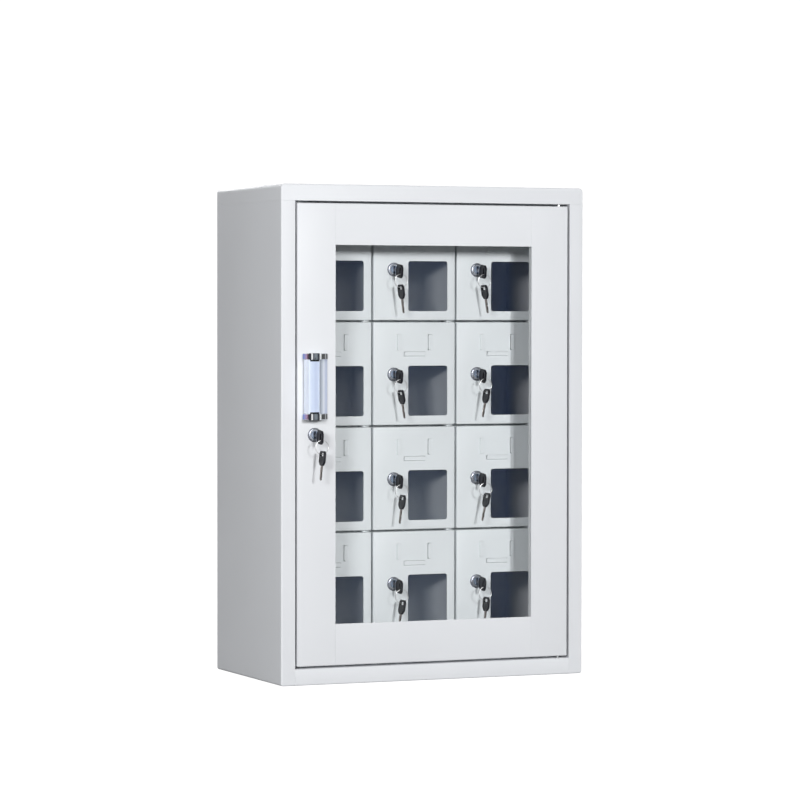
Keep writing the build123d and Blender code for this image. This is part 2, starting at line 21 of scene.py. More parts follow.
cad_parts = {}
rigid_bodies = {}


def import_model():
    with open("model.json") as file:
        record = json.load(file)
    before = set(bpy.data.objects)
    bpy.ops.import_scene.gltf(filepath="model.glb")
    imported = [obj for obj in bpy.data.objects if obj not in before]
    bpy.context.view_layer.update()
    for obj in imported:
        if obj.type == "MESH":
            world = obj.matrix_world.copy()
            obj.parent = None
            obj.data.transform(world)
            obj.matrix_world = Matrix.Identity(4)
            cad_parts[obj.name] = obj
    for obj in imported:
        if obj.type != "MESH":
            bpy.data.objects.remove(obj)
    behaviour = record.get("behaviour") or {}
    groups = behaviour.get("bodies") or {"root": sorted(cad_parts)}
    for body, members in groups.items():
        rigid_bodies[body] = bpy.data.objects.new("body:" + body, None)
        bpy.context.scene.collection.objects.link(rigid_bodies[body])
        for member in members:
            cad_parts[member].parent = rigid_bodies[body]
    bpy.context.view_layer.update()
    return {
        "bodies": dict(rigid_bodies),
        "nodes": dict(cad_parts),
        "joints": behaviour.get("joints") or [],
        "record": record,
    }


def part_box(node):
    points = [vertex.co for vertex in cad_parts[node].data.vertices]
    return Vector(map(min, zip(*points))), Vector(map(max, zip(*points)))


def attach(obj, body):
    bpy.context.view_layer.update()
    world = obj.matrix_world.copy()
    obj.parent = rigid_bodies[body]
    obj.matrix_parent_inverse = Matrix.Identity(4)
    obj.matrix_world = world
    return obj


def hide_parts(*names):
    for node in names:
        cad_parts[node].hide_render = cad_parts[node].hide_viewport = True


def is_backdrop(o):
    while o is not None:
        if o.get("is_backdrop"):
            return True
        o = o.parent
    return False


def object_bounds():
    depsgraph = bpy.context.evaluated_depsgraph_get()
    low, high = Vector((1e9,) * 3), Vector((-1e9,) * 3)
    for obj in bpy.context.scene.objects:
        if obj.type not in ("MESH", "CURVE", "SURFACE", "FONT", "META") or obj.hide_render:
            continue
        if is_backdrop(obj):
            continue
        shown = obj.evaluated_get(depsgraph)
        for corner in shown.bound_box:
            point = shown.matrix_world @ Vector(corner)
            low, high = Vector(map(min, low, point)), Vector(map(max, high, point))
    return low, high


log = logging.getLogger("locker")

Colour = tuple[float, float, float]
Point = tuple[float, float]
Span = tuple[float, float]
Stretch = tuple[float, float, float]
Corner = Sequence[float]
Piece = bpy.types.Object
Shape = bmesh.types.BMesh
Finish = bpy.types.Material
Socket = bpy.types.NodeSocket

QUARTER_TURN = Matrix.Rotation(math.radians(90), 4, "X")


# ---------------------------------------------------------------- directions and sides
class Axis(Enum):
    """The direction that a flat section is drawn out along."""

    X = "x"
    Y = "y"
    Z = "z"

    def place(self, across: float, up: float, along: float) -> Vector:
        """Puts a point of a section into space.

        Args:
            across: the section's first coordinate (Y for axis X, otherwise X).
            up: the section's second coordinate (Y for axis Z, otherwise Z).
            along: the distance along this axis.

        Returns:
            The point in space.
        """
        if self is Axis.X:
            return Vector((along, across, up))
        if self is Axis.Y:
            return Vector((across, along, up))
        return Vector((across, up, along))


class Side(Enum):
    """A side of a box, named as seen from the front."""

    LEFT = (-1, 0, 0)
    RIGHT = (1, 0, 0)
    FRONT = (0, -1, 0)
    BACK = (0, 1, 0)
    BOTTOM = (0, 0, -1)
    TOP = (0, 0, 1)

    def faces(self, normal: Vector, least: float = 0.99) -> bool:
        """True if a face with this normal looks to this side.

        Args:
            normal: the face's normal.
            least: the cosine of the greatest angle between the two, not included.

        Returns:
            Whether it does.
        """
        return Vector(self.value).dot(normal) > least


class Edge(Enum):
    """The edge along which a card tab joins the small door's face."""

    LEFT = "left"
    RIGHT = "right"
    LOWER = "lower"


# ---------------------------------------------------------------- finishes
class Graph:
    """A material's nodes, with short ways to add and join them."""

    def __init__(self, name: str) -> None:
        """Starts a material that holds one Principled shader.

        Args:
            name: the material's name.
        """
        self.material = bpy.data.materials.new(name)
        self.material.use_nodes = True
        self.tree = self.material.node_tree
        self.tree.nodes.clear()
        output = self.tree.nodes.new("ShaderNodeOutputMaterial")
        self.shader = self.tree.nodes.new("ShaderNodeBsdfPrincipled")
        self.join(self.shader.outputs["BSDF"], output.inputs["Surface"])
        self.place = self.tree.nodes.new("ShaderNodeTexCoord").outputs["Object"]

    def join(self, source: Socket, target: Socket) -> None:
        """Links one socket to another."""
        self.tree.links.new(source, target)

    def set(self, **values: float | tuple[float, ...]) -> None:
        """Sets plain values on the shader.

        Args:
            values: socket names in lower case with underscores, and their values.
        """
        names = {socket.name.lower().replace(" ", "_"): socket for socket in self.shader.inputs}
        for name, value in values.items():
            names[name].default_value = value

    def coordinate(self, axis: str) -> Socket:
        """One of the object's coordinates: X, Y or Z."""
        split = self.tree.nodes.new("ShaderNodeSeparateXYZ")
        self.join(self.place, split.inputs["Vector"])
        return split.outputs[axis]

    def stretched(self, scale: Corner) -> Socket:
        """The object's coordinates, scaled along each axis."""
        mapping = self.tree.nodes.new("ShaderNodeMapping")
        mapping.inputs["Scale"].default_value = scale
        self.join(self.place, mapping.inputs["Vector"])
        return mapping.outputs["Vector"]

    def noise(self, place: Socket, scale: float, detail: float = 2.0) -> Socket:
        """A noise pattern, from 0 to 1.

        Args:
            place: the coordinates it follows.
            scale: its features for each metre.
            detail: how many finer layers it has.

        Returns:
            The noise's factor socket.
        """
        node = self.tree.nodes.new("ShaderNodeTexNoise")
        node.inputs["Scale"].default_value = scale
        node.inputs["Detail"].default_value = detail
        self.join(place, node.inputs["Vector"])
        return node.outputs["Fac"]

    def mapped(self, value: Socket, source: Span = (0.0, 1.0), target: Span = (0.0, 1.0)) -> Socket:
        """A value, spread from one range over another and held at its ends.

        Args:
            value: the value.
            source: the range that it is taken from.
            target: the range that it is spread over.

        Returns:
            The spread value's socket.
        """
        node = self.tree.nodes.new("ShaderNodeMapRange")
        node.inputs["From Min"].default_value, node.inputs["From Max"].default_value = source
        node.inputs["To Min"].default_value, node.inputs["To Max"].default_value = target
        self.join(value, node.inputs["Value"])
        return node.outputs["Result"]

    def roughen(self, pattern: Socket, gloss: Span) -> None:
        """Sets the shader's roughness by a noise.

        Args:
            pattern: the noise, of which the middle range counts.
            gloss: the roughness where it is low, and where it is high.
        """
        middle_range = (0.3, 0.7)
        self.join(self.mapped(pattern, middle_range, gloss), self.shader.inputs["Roughness"])

    def paint(self, pattern: Socket, first: Colour, second: Colour) -> None:
        """Colours the shader between two colours, by a pattern from 0 to 1."""
        self.join(self.blend(pattern, first, second), self.shader.inputs["Base Color"])

    def blend(self, factor: Socket, first: Colour, second: Colour) -> Socket:
        """A colour between two, by a pattern.

        Args:
            factor: the pattern, from 0 to 1.
            first: the colour at 0.
            second: the colour at 1.

        Returns:
            The colour's socket.
        """
        node = self.tree.nodes.new("ShaderNodeMix")
        node.data_type = "RGBA"
        node.inputs[6].default_value = (*first, 1.0)
        node.inputs[7].default_value = (*second, 1.0)
        self.join(factor, node.inputs[0])
        return node.outputs[2]

    def emboss(self, height: Socket, strength: float, depth: float) -> None:
        """Raises the surface by a pattern.

        Args:
            height: the pattern.
            strength: how much of it shows, from 0 to 1.
            depth: its depth in metres.
        """
        bump = self.tree.nodes.new("ShaderNodeBump")
        bump.inputs["Strength"].default_value = strength
        bump.inputs["Distance"].default_value = depth
        self.join(height, bump.inputs["Height"])
        self.join(bump.outputs["Normal"], self.shader.inputs["Normal"])


def shaded(colour: Colour, share: float) -> Colour:
    """A colour made lighter or darker by a share of itself."""
    red, green, blue = colour
    return (red * share, green * share, blue * share)


@dataclass(frozen=True)
class PowderCoat:
    """Baked powder coat on sheet steel, with a faint orange peel and slightly uneven gloss."""

    name: str
    colour: Colour
    gloss: Span = (0.40, 0.52)
    peel_scale: float = 420.0
    peel_depth: float = 0.00006
    peel_strength: float = 0.35
    cloud_scale: float = 9.0
    cloud_detail: float = 3.0
    cloud_share: float = 0.975

    def make(self) -> Finish:
        """Builds the material."""
        graph = Graph(self.name)
        clouds = graph.noise(graph.place, self.cloud_scale, self.cloud_detail)
        peel = graph.noise(graph.place, self.peel_scale)
        graph.paint(clouds, shaded(self.colour, self.cloud_share), self.colour)
        graph.roughen(clouds, self.gloss)
        graph.emboss(peel, self.peel_strength, self.peel_depth)
        return graph.material


@dataclass(frozen=True)
class Plating:
    """Bright plated metal with fine lengthwise polishing marks."""

    name: str
    colour: Colour
    gloss: Span = (0.08, 0.2)
    marks: Stretch = (900.0, 900.0, 60.0)
    mark_detail: float = 3.0
    mark_depth: float = 0.00001
    mark_strength: float = 0.3
    tone_scale: float = 120.0
    tone_share: float = 0.9

    def make(self) -> Finish:
        """Builds the material."""
        graph = Graph(self.name)
        marks = graph.noise(graph.stretched(self.marks), 1.0, self.mark_detail)
        tone = graph.noise(graph.place, self.tone_scale)
        graph.paint(tone, shaded(self.colour, self.tone_share), self.colour)
        graph.roughen(marks, self.gloss)
        graph.set(metallic=1.0)
        graph.emboss(marks, self.mark_strength, self.mark_depth)
        return graph.material


@dataclass(frozen=True)
class Bands:
    """Upright bands of colour across X."""

    span: Span
    stops: tuple[tuple[float, Colour], ...]

    def join(self, graph: Graph) -> None:
        """Colours a graph's shader with the bands."""
        ramp = graph.tree.nodes.new("ShaderNodeValToRGB")
        ramp.color_ramp.interpolation = "EASE"
        elements = ramp.color_ramp.elements
        while len(elements) < len(self.stops):
            elements.new(0.5)
        for element, (position, colour) in zip(elements, self.stops):
            element.position = position
            element.color = (*colour, 1.0)
        graph.join(graph.mapped(graph.coordinate("X"), self.span), ramp.inputs["Fac"])
        graph.join(ramp.outputs["Color"], graph.shader.inputs["Base Color"])


@dataclass(frozen=True)
class ReflectionBandedPlating:
    """Plating whose shallow facets carry painted reflections: upright bands of dark reflection and painted
    highlight across X.
    """

    name: str
    bands: Bands
    gloss: Span = (0.26, 0.36)
    smear_scale: float = 300.0
    metal_share: float = 0.6

    def make(self) -> Finish:
        """Builds the material."""
        graph = Graph(self.name)
        self.bands.join(graph)
        graph.roughen(graph.noise(graph.place, self.smear_scale), self.gloss)
        graph.set(metallic=self.metal_share)
        return graph.material


@dataclass(frozen=True)
class ReflectionTintedPlating:
    """Plating with a painted reflection: its colour runs from back to front between two colours, in place of
    the blue and pink seen in it.
    """

    name: str
    reflected_tints: tuple[Colour, Colour]
    depth: Span = (-0.1125, -0.1275)
    roughness: float = 0.12

    def make(self) -> Finish:
        """Builds the material."""
        graph = Graph(self.name)
        graph.paint(graph.mapped(graph.coordinate("Y"), self.depth), *self.reflected_tints)
        graph.set(metallic=1.0, roughness=self.roughness)
        return graph.material


@dataclass(frozen=True)
class Moulding:
    """Moulded plastic with a fine spark-eroded grain."""

    name: str
    colour: Colour
    gloss: Span = (0.3, 0.45)
    grain_scale: float = 2600.0
    grain_depth: float = 0.00004
    grain_strength: float = 0.4
    smudge_scale: float = 160.0
    smudge_shares: Span = (0.8, 1.2)
    shine: float = 0.5

    def make(self) -> Finish:
        """Builds the material."""
        graph = Graph(self.name)
        grain = graph.noise(graph.place, self.grain_scale)
        smudge = graph.noise(graph.place, self.smudge_scale)
        graph.paint(smudge, *(shaded(self.colour, share) for share in self.smudge_shares))
        graph.roughen(smudge, self.gloss)
        graph.set(specular_ior_level=self.shine)
        graph.emboss(grain, self.grain_strength, self.grain_depth)
        return graph.material


@dataclass(frozen=True)
class ClearSheet:
    """A clear pane. Its cover is the share of light that its faces send back, as a mirror or as a haze."""

    name: str
    tint: Colour
    cover: float
    mirror: float
    gloss: Span = (0.01, 0.04)
    smears: Stretch = (14.0, 14.0, 5.0)
    smear_share: float = 0.9

    def make(self) -> Finish:
        """Builds the material."""
        graph = Graph(self.name)
        smears = graph.noise(graph.stretched(self.smears), 1.0)
        graph.paint(smears, shaded(self.tint, self.smear_share), self.tint)
        graph.roughen(smears, self.gloss)
        graph.set(alpha=self.cover, metallic=self.mirror)
        return graph.material


@dataclass(frozen=True)
class MilkyPlastic:
    """Translucent moulded plastic coloured in upright bands across X, partly painted light and shade, with a
    faint painted glow in place of the light that comes through it.
    """

    name: str
    bands: Bands
    gloss: Span = (0.12, 0.24)
    streak_scale: float = 900.0
    streak_shape: Stretch = (1.0, 1.0, 0.01)
    milkiness: float = 0.5
    milk_depth: Colour = (0.004, 0.004, 0.005)
    skin: float = 0.3
    skin_roughness: float = 0.08
    # painted glow: a faint emission in place of light that comes through the plastic
    glow: float = 0.16
    painted_glow_colour: Colour = (0.80, 0.88, 1.0)

    def make(self) -> Finish:
        """Builds the material."""
        graph = Graph(self.name)
        self.bands.join(graph)
        graph.roughen(graph.noise(graph.stretched(self.streak_shape), self.streak_scale, 1.0), self.gloss)
        graph.set(
            subsurface_weight=self.milkiness,
            subsurface_radius=self.milk_depth,
            coat_weight=self.skin,
            coat_roughness=self.skin_roughness,
            emission_color=(*self.painted_glow_colour, 1.0),
            emission_strength=self.glow,
        )
        return graph.material


# ---------------------------------------------------------------- outlines and meshes
def rounded(corners: list[Point], radius: float, steps: int = 4, closed: bool = True) -> list[Vector]:
    """Rounds the corners of an outline with arcs.

    Args:
        corners: the outline's corners in order.
        radius: the arcs' radius.
        steps: the straight pieces in each arc.
        closed: whether the last corner joins the first.

    Returns:
        The points of the rounded outline.
    """
    points = [Vector(corner) for corner in corners]
    rounded_points = []
    for index, corner in enumerate(points):
        if not closed and index in (0, len(points) - 1):
            rounded_points.append(corner)
            continue
        back = (points[index - 1] - corner).normalized()
        ahead = (points[(index + 1) % len(points)] - corner).normalized()
        half = back.angle(ahead) / 2
        centre = corner + (back + ahead).normalized() * radius / math.sin(half)
        spoke = corner + back * radius / math.tan(half) - centre
        last = corner + ahead * radius / math.tan(half) - centre
        sweep = math.pi - 2 * half
        if spoke.x * last.y - spoke.y * last.x < 0:
            sweep = -sweep
        for step in range(steps + 1):
            rounded_points.append(centre + Matrix.Rotation(sweep * step / steps, 2) @ spoke)
    return rounded_points


def folded(line: list[Point], sheet: float, bend: float) -> list[Vector]:
    """The section of a folded sheet.

    Args:
        line: the corners of the line along the middle of the sheet.
        sheet: the sheet's thickness.
        bend: the radius outside each bend.

    Returns:
        The closed outline of the section.
    """
    middle = rounded(line, bend - sheet / 2, closed=False)
    first, second = [], []
    for index, point in enumerate(middle):
        before = middle[max(index - 1, 0)]
        after = middle[min(index + 1, len(middle) - 1)]
        along = (after - before).normalized()
        across = Vector((-along.y, along.x)) * sheet / 2
        first.append(point + across)
        second.append(point - across)
    return first + second[::-1]


def drawn(section: list[Vector], axis: Axis, start: float, end: float) -> Shape:
    """Draws a section out into a bar.

    Args:
        section: the closed outline.
        axis: the direction of the bar.
        start: where it starts along the axis.
        end: where it ends.

    Returns:
        The bar's mesh.
    """
    bar = bmesh.new()
    ends = [
        [bar.verts.new(axis.place(across, up, distance)) for across, up in section]
        for distance in (start, end)
    ]
    for ring in ends:
        bar.faces.new(ring)
    for index in range(len(section)):
        follows = (index + 1) % len(section)
        bar.faces.new((ends[0][index], ends[0][follows], ends[1][follows], ends[1][index]))
    bmesh.ops.recalc_face_normals(bar, faces=bar.faces)
    return bar


def bar(low: Corner, high: Corner) -> Shape:
    """A square bar or plate between two corners."""
    (x0, y0, z0), (x1, y1, z1) = low, high
    outline = [Vector(point) for point in ((x0, z0), (x1, z0), (x1, z1), (x0, z1))]
    return drawn(outline, Axis.Y, y0, y1)


def turned(profile: list[Point], sides: int = 40) -> Shape:
    """Turns a profile round the Y axis, as on a lathe.

    Args:
        profile: (radius, depth) points of a closed outline, or of a line that starts and ends on the axis.
        sides: the flats round the turned piece.

    Returns:
        The turned mesh.
    """
    piece = bmesh.new()
    whole = profile[0][0] > 0
    rings = []
    for radius, depth in profile:
        if radius == 0:
            rings.append([piece.verts.new((0, depth, 0))])
            continue
        angles = [2 * math.pi * side / sides for side in range(sides)]
        rings.append([piece.verts.new((radius * math.cos(a), depth, radius * math.sin(a))) for a in angles])
    pairs = list(zip(rings, rings[1:]))
    if whole:
        pairs.append((rings[-1], rings[0]))
    for ring, other in pairs:
        for side in range(sides):
            follows = (side + 1) % sides
            corners = [ring[side % len(ring)], ring[follows % len(ring)]]
            corners += [other[follows % len(other)], other[side % len(other)]]
            piece.faces.new(list(dict.fromkeys(corners)))
    bmesh.ops.recalc_face_normals(piece, faces=piece.faces)
    return piece


def rod(radius: float, start: float, end: float, sides: int = 32) -> Shape:
    """A plain rod along the Y axis.

    Args:
        radius: the rod's radius.
        start: the depth where it starts.
        end: the depth where it ends.
        sides: the flats round it.

    Returns:
        The rod's mesh.
    """
    return turned([(0, start), (radius, start), (radius, end), (0, end)], sides)


def joined(parts: list[Shape]) -> Shape:
    """Puts several meshes into one, and frees them."""
    whole = bmesh.new()
    for part in parts:
        mesh = bpy.data.meshes.new("part")
        part.to_mesh(mesh)
        part.free()
        whole.from_mesh(mesh)
        bpy.data.meshes.remove(mesh)
    return whole


def shade(mesh: bpy.types.Mesh, angle: float = 32.0) -> None:
    """Shades a mesh smoothly, apart from its corners sharper than an angle in degrees."""
    mesh.polygons.foreach_set("use_smooth", [True] * len(mesh.polygons))
    mesh.set_sharp_from_angle(angle=math.radians(angle))


def settle(piece: Piece) -> Piece:
    """Turns a piece's modifiers into plain mesh."""
    bpy.context.view_layer.update()
    evaluated = piece.evaluated_get(bpy.context.evaluated_depsgraph_get())
    mesh = bpy.data.meshes.new_from_object(evaluated)
    unfinished = piece.data
    piece.modifiers.clear()
    piece.data = mesh
    bpy.data.meshes.remove(unfinished)
    return piece


def piece_of(name: str, shape: Shape, finish: Finish) -> Piece:
    """Makes an object of a mesh, and frees the mesh it came from.

    Args:
        name: the piece's name.
        shape: its mesh, in place.
        finish: its material.

    Returns:
        The piece, at the origin.
    """
    mesh = bpy.data.meshes.new(name)
    shape.to_mesh(mesh)
    shape.free()
    mesh.materials.append(finish)
    shade(mesh)
    piece = bpy.data.objects.new(name, mesh)
    bpy.context.scene.collection.objects.link(piece)
    return piece


def eased(piece: Piece, width: float, steps: int = 2, angle: float = 40.0) -> Piece:
    """Takes the sharpness off a piece's edges.

    Args:
        piece: the piece.
        width: how far from the edge the easing starts.
        steps: the flats across the eased edge.
        angle: the least corner, in degrees, that is eased.

    Returns:
        The piece.
    """
    bevel = piece.modifiers.new("ease", "BEVEL")
    bevel.limit_method = "ANGLE"
    bevel.angle_limit = math.radians(angle)
    bevel.width = width
    bevel.segments = steps
    bevel.harden_normals = True
    return settle(piece)


def cut(piece: Piece, *tools: Shape) -> Piece:
    """Cuts shapes out of a piece.

    Args:
        piece: the piece.
        tools: the shapes, which are used up.

    Returns:
        The piece.
    """
    finish = piece.data.materials[0]
    tool = piece_of("cutting_tool", joined(list(tools)), finish)
    boolean = piece.modifiers.new("cut", "BOOLEAN")
    boolean.operation = "DIFFERENCE"
    boolean.solver = "EXACT"
    boolean.object = tool
    settle(piece)
    bpy.data.objects.remove(tool)
    shade(piece.data)
    return piece


def repaint(piece: Piece, finish: Finish, side: Side, least: float) -> None:
    """Gives the faces that look to one side another finish.

    Args:
        piece: the piece.
        finish: the faces' new finish.
        side: the side that they look to.
        least: the cosine of the greatest angle between a face's normal and that side.
    """
    piece.data.materials.append(finish)
    for face in piece.data.polygons:
        if side.faces(face.normal, least):
            face.material_index = len(piece.data.materials) - 1


def twin(piece: Piece, name: str, move: Matrix) -> Piece:
    """A copy of a piece with its mesh moved.

    Args:
        piece: the piece to copy.
        name: the copy's name.
        move: where the copy's mesh goes.

    Returns:
        The copy, at the origin.
    """
    mesh = piece.data.copy()
    mesh.name = name
    mesh.transform(move)
    if move.determinant() < 0:
        mesh.flip_normals()
    copy = bpy.data.objects.new(name, mesh)
    bpy.context.scene.collection.objects.link(copy)
    return copy


@dataclass
class Tray:
    """A box folded from sheet, open on some sides, with a radius along every fold."""

    low: Vector
    high: Vector
    open_sides: tuple[Side, ...]
    sheet: float
    fold: float
    wide_folds: tuple[tuple[Side, Side], ...] = ()
    wide_fold: float = 0.003
    fold_steps: int = 4
    wide_fold_steps: int = 8
    least_turn: float = 0.5

    def make(self, name: str, finish: Finish) -> Piece:
        """Builds the tray.

        Args:
            name: the piece's name.
            finish: its material.

        Returns:
            The tray.
        """
        shape = bar(self.low, self.high)
        shape.normal_update()
        gone = [f for f in shape.faces if any(side.faces(f.normal) for side in self.open_sides)]
        bmesh.ops.delete(shape, geom=gone, context="FACES")
        wide = [edge for edge in shape.edges if self.is_wide(edge)]
        if wide:
            self.bend(shape, wide, self.wide_fold, self.wide_fold_steps)
        shape.normal_update()
        inner = [edge for edge in shape.edges if len(edge.link_faces) == 2]
        sharp = [edge for edge in inner if edge.calc_face_angle() > self.least_turn]
        self.bend(shape, sharp, self.fold, self.fold_steps)
        tray = piece_of(name, shape, finish)
        wall = tray.modifiers.new("wall", "SOLIDIFY")
        wall.thickness = self.sheet
        wall.offset = -1
        wall.use_even_offset = True
        settle(tray)
        shade(tray.data)
        return tray

    def is_wide(self, edge: bmesh.types.BMEdge) -> bool:
        """True if this fold is one of the wide ones."""
        normals = [face.normal for face in edge.link_faces]
        if len(normals) != 2:
            return False
        return any(
            (one.faces(normals[0]) and other.faces(normals[1]))
            or (one.faces(normals[1]) and other.faces(normals[0]))
            for one, other in self.wide_folds
        )

    @staticmethod
    def bend(shape: Shape, folds: list[bmesh.types.BMEdge], radius: float, steps: int) -> None:
        """Rounds some folds of a shape.

        Args:
            shape: the shape.
            folds: its edges that are rounded.
            radius: how far from the edge the rounding starts.
            steps: the flats across each rounding.
        """
        bmesh.ops.bevel(
            shape,
            geom=folds,
            offset=radius,
            offset_type="OFFSET",
            segments=steps,
            profile=0.5,
            affect="EDGES",
            clamp_overlap=True,
        )


# ---------------------------------------------------------------- trees that repeat or follow a path
class NodeTree:
    """A Geometry Nodes tree with named inputs, built once and used by several pieces."""

    def __init__(self, name: str, inputs: dict[str, str]) -> None:
        """Starts an empty tree that gives out a mesh.

        Args:
            name: the tree's name.
            inputs: the name and the kind of each of its inputs, apart from its finish.
        """
        self.tree = bpy.data.node_groups.new(name, "GeometryNodeTree")
        self.tree.interface.new_socket("Geometry", in_out="OUTPUT", socket_type="NodeSocketGeometry")
        self.sizes = self.add("NodeGroupInput")
        self.result = self.add("NodeGroupOutput")
        for label, kind in {**inputs, "Finish": "Material"}.items():
            self.tree.interface.new_socket(label, in_out="INPUT", socket_type=f"NodeSocket{kind}")

    def add(self, kind: str, **values: object) -> bpy.types.Node:
        """Adds a node, and sets some of its properties."""
        node = self.tree.nodes.new(kind)
        for name, value in values.items():
            setattr(node, name, value)
        return node

    def join(self, source: Socket, target: Socket) -> None:
        """Links one socket to another."""
        self.tree.links.new(source, target)

    def close(self, geometry: Socket) -> None:
        """Makes the geometry real, gives it its material and hands it out."""
        real = self.add("GeometryNodeRealizeInstances")
        coat = self.add("GeometryNodeSetMaterial")
        self.join(geometry, real.inputs["Geometry"])
        self.join(real.outputs["Geometry"], coat.inputs["Geometry"])
        self.join(self.sizes.outputs["Finish"], coat.inputs["Material"])
        self.join(coat.outputs["Geometry"], self.result.inputs["Geometry"])

    def run(self, name: str, **values: object) -> Piece:
        """Runs the tree and keeps its result as a plain mesh.

        Args:
            name: the new piece's name.
            values: a value for each input, named in lower case with underscores.

        Returns:
            The new piece, at the origin.
        """
        piece = bpy.data.objects.new(name, bpy.data.meshes.new(name))
        bpy.context.scene.collection.objects.link(piece)
        modifier = piece.modifiers.new(name, "NODES")
        modifier.node_group = self.tree
        for socket in self.tree.interface.items_tree:
            key = socket.name.lower().replace(" ", "_")
            if socket.in_out == "INPUT" and key in values:
                modifier[socket.identifier] = values[key]
        settle(piece)
        shade(piece.data)
        return piece


class Rows(NodeTree):
    """Stands copies of a pattern piece in upright rows and columns."""

    def __init__(self) -> None:
        """Builds the tree."""
        counts = {"Pattern": "Object", "Columns": "Int", "Rows": "Int"}
        super().__init__("rows_and_columns", {**counts, "Column Pitch": "Float", "Row Pitch": "Float"})
        pattern = self.add("GeometryNodeObjectInfo", transform_space="ORIGINAL")
        self.join(self.sizes.outputs["Pattern"], pattern.inputs["Object"])
        row = self.line("Columns", "Column Pitch", (1.0, 0.0, 0.0))
        column = self.line("Rows", "Row Pitch", (0.0, 0.0, 1.0))
        across = self.stand(pattern.outputs["Geometry"], row)
        self.close(self.stand(across, column))

    def line(self, count: str, pitch: str, direction: Corner) -> Socket:
        """A line of evenly spaced points.

        Args:
            count: the input that says how many.
            pitch: the input that says how far apart.
            direction: the way the line goes.

        Returns:
            The line's mesh socket.
        """
        points = self.add("GeometryNodeMeshLine", mode="OFFSET")
        offset = self.add("ShaderNodeVectorMath", operation="SCALE")
        offset.inputs[0].default_value = direction
        self.join(self.sizes.outputs[pitch], offset.inputs["Scale"])
        self.join(self.sizes.outputs[count], points.inputs["Count"])
        self.join(offset.outputs["Vector"], points.inputs["Offset"])
        return points.outputs["Mesh"]

    def stand(self, pattern: Socket, points: Socket) -> Socket:
        """Stands a copy of the pattern on each point."""
        copies = self.add("GeometryNodeInstanceOnPoints")
        self.join(points, copies.inputs["Points"])
        self.join(pattern, copies.inputs["Instance"])
        return copies.outputs["Instances"]


class Coil(NodeTree):
    """Winds round wire into a flat coil about the Z axis."""

    steps_round_coil: int = 40
    sides_of_wire: int = 8

    def __init__(self) -> None:
        """Builds the tree."""
        sizes = ("Turns", "Coil Radius", "Wire Radius", "Coil Height")
        super().__init__("wire_coil", dict.fromkeys(sizes, "Float"))
        path = self.add("GeometryNodeCurveSpiral")
        path.inputs["Resolution"].default_value = self.steps_round_coil
        wire = self.add("GeometryNodeCurvePrimitiveCircle")
        wire.inputs["Resolution"].default_value = self.sides_of_wire
        tube = self.add("GeometryNodeCurveToMesh")
        tube.inputs["Fill Caps"].default_value = True
        for size, target in (
            ("Turns", path.inputs["Rotations"]),
            ("Coil Radius", path.inputs["Start Radius"]),
            ("Coil Radius", path.inputs["End Radius"]),
            ("Coil Height", path.inputs["Height"]),
            ("Wire Radius", wire.inputs["Radius"]),
        ):
            self.join(self.sizes.outputs[size], target)
        self.join(path.outputs["Curve"], tube.inputs["Curve"])
        self.join(wire.outputs["Curve"], tube.inputs["Profile Curve"])
        self.close(tube.outputs["Mesh"])


# ---------------------------------------------------------------- the shop: finishes and shared trees
HANDLE_SPAN: Span = (-0.1727, -0.141)
# Painted reflection for the caps' front faces: the dark stops stand in for dark surroundings seen in the
# chrome, and the bright ones are painted highlights.
DARK: Colour = (0.02, 0.02, 0.03)
BLACK: Colour = (0.02, 0.02, 0.02)
BRIGHT: Colour = (0.90, 0.91, 0.92)
CAP_REFLECTION_BANDS: tuple[tuple[float, Colour], ...] = (
    (0.0, DARK),
    (0.09, DARK),
    (0.12, BRIGHT),
    (0.15, BRIGHT),
    (0.18, (0.10, 0.11, 0.13)),
    (0.30, (0.20, 0.23, 0.26)),
    (0.42, DARK),
    (0.46, (0.70, 0.72, 0.74)),
    (0.51, BRIGHT),
    (0.56, BLACK),
    (0.78, BLACK),
    (0.84, (0.45, 0.46, 0.48)),
    (0.90, BLACK),
)
# Partly painted light and shade: the pale blue is the plastic's own colour, the light stop at the left end is
# painted light on the left wall, and the dark stop near 0.70 is a painted shadow on the base beside the
# hooked lip.
GRIP_SHADE_BANDS: tuple[tuple[float, Colour], ...] = (
    (0.0, (0.88, 0.91, 0.97)),
    (0.04, (0.56, 0.62, 0.74)),
    (0.20, (0.49, 0.56, 0.70)),
    (0.30, (0.43, 0.49, 0.64)),
    (0.42, (0.48, 0.55, 0.69)),
    (0.56, (0.58, 0.63, 0.74)),
    (0.64, (0.38, 0.41, 0.47)),
    (0.70, (0.24, 0.26, 0.30)),
    (0.76, (0.45, 0.48, 0.53)),
    (0.83, (0.58, 0.61, 0.66)),
    (0.91, (0.36, 0.39, 0.50)),
    (1.0, (0.34, 0.37, 0.48)),
)


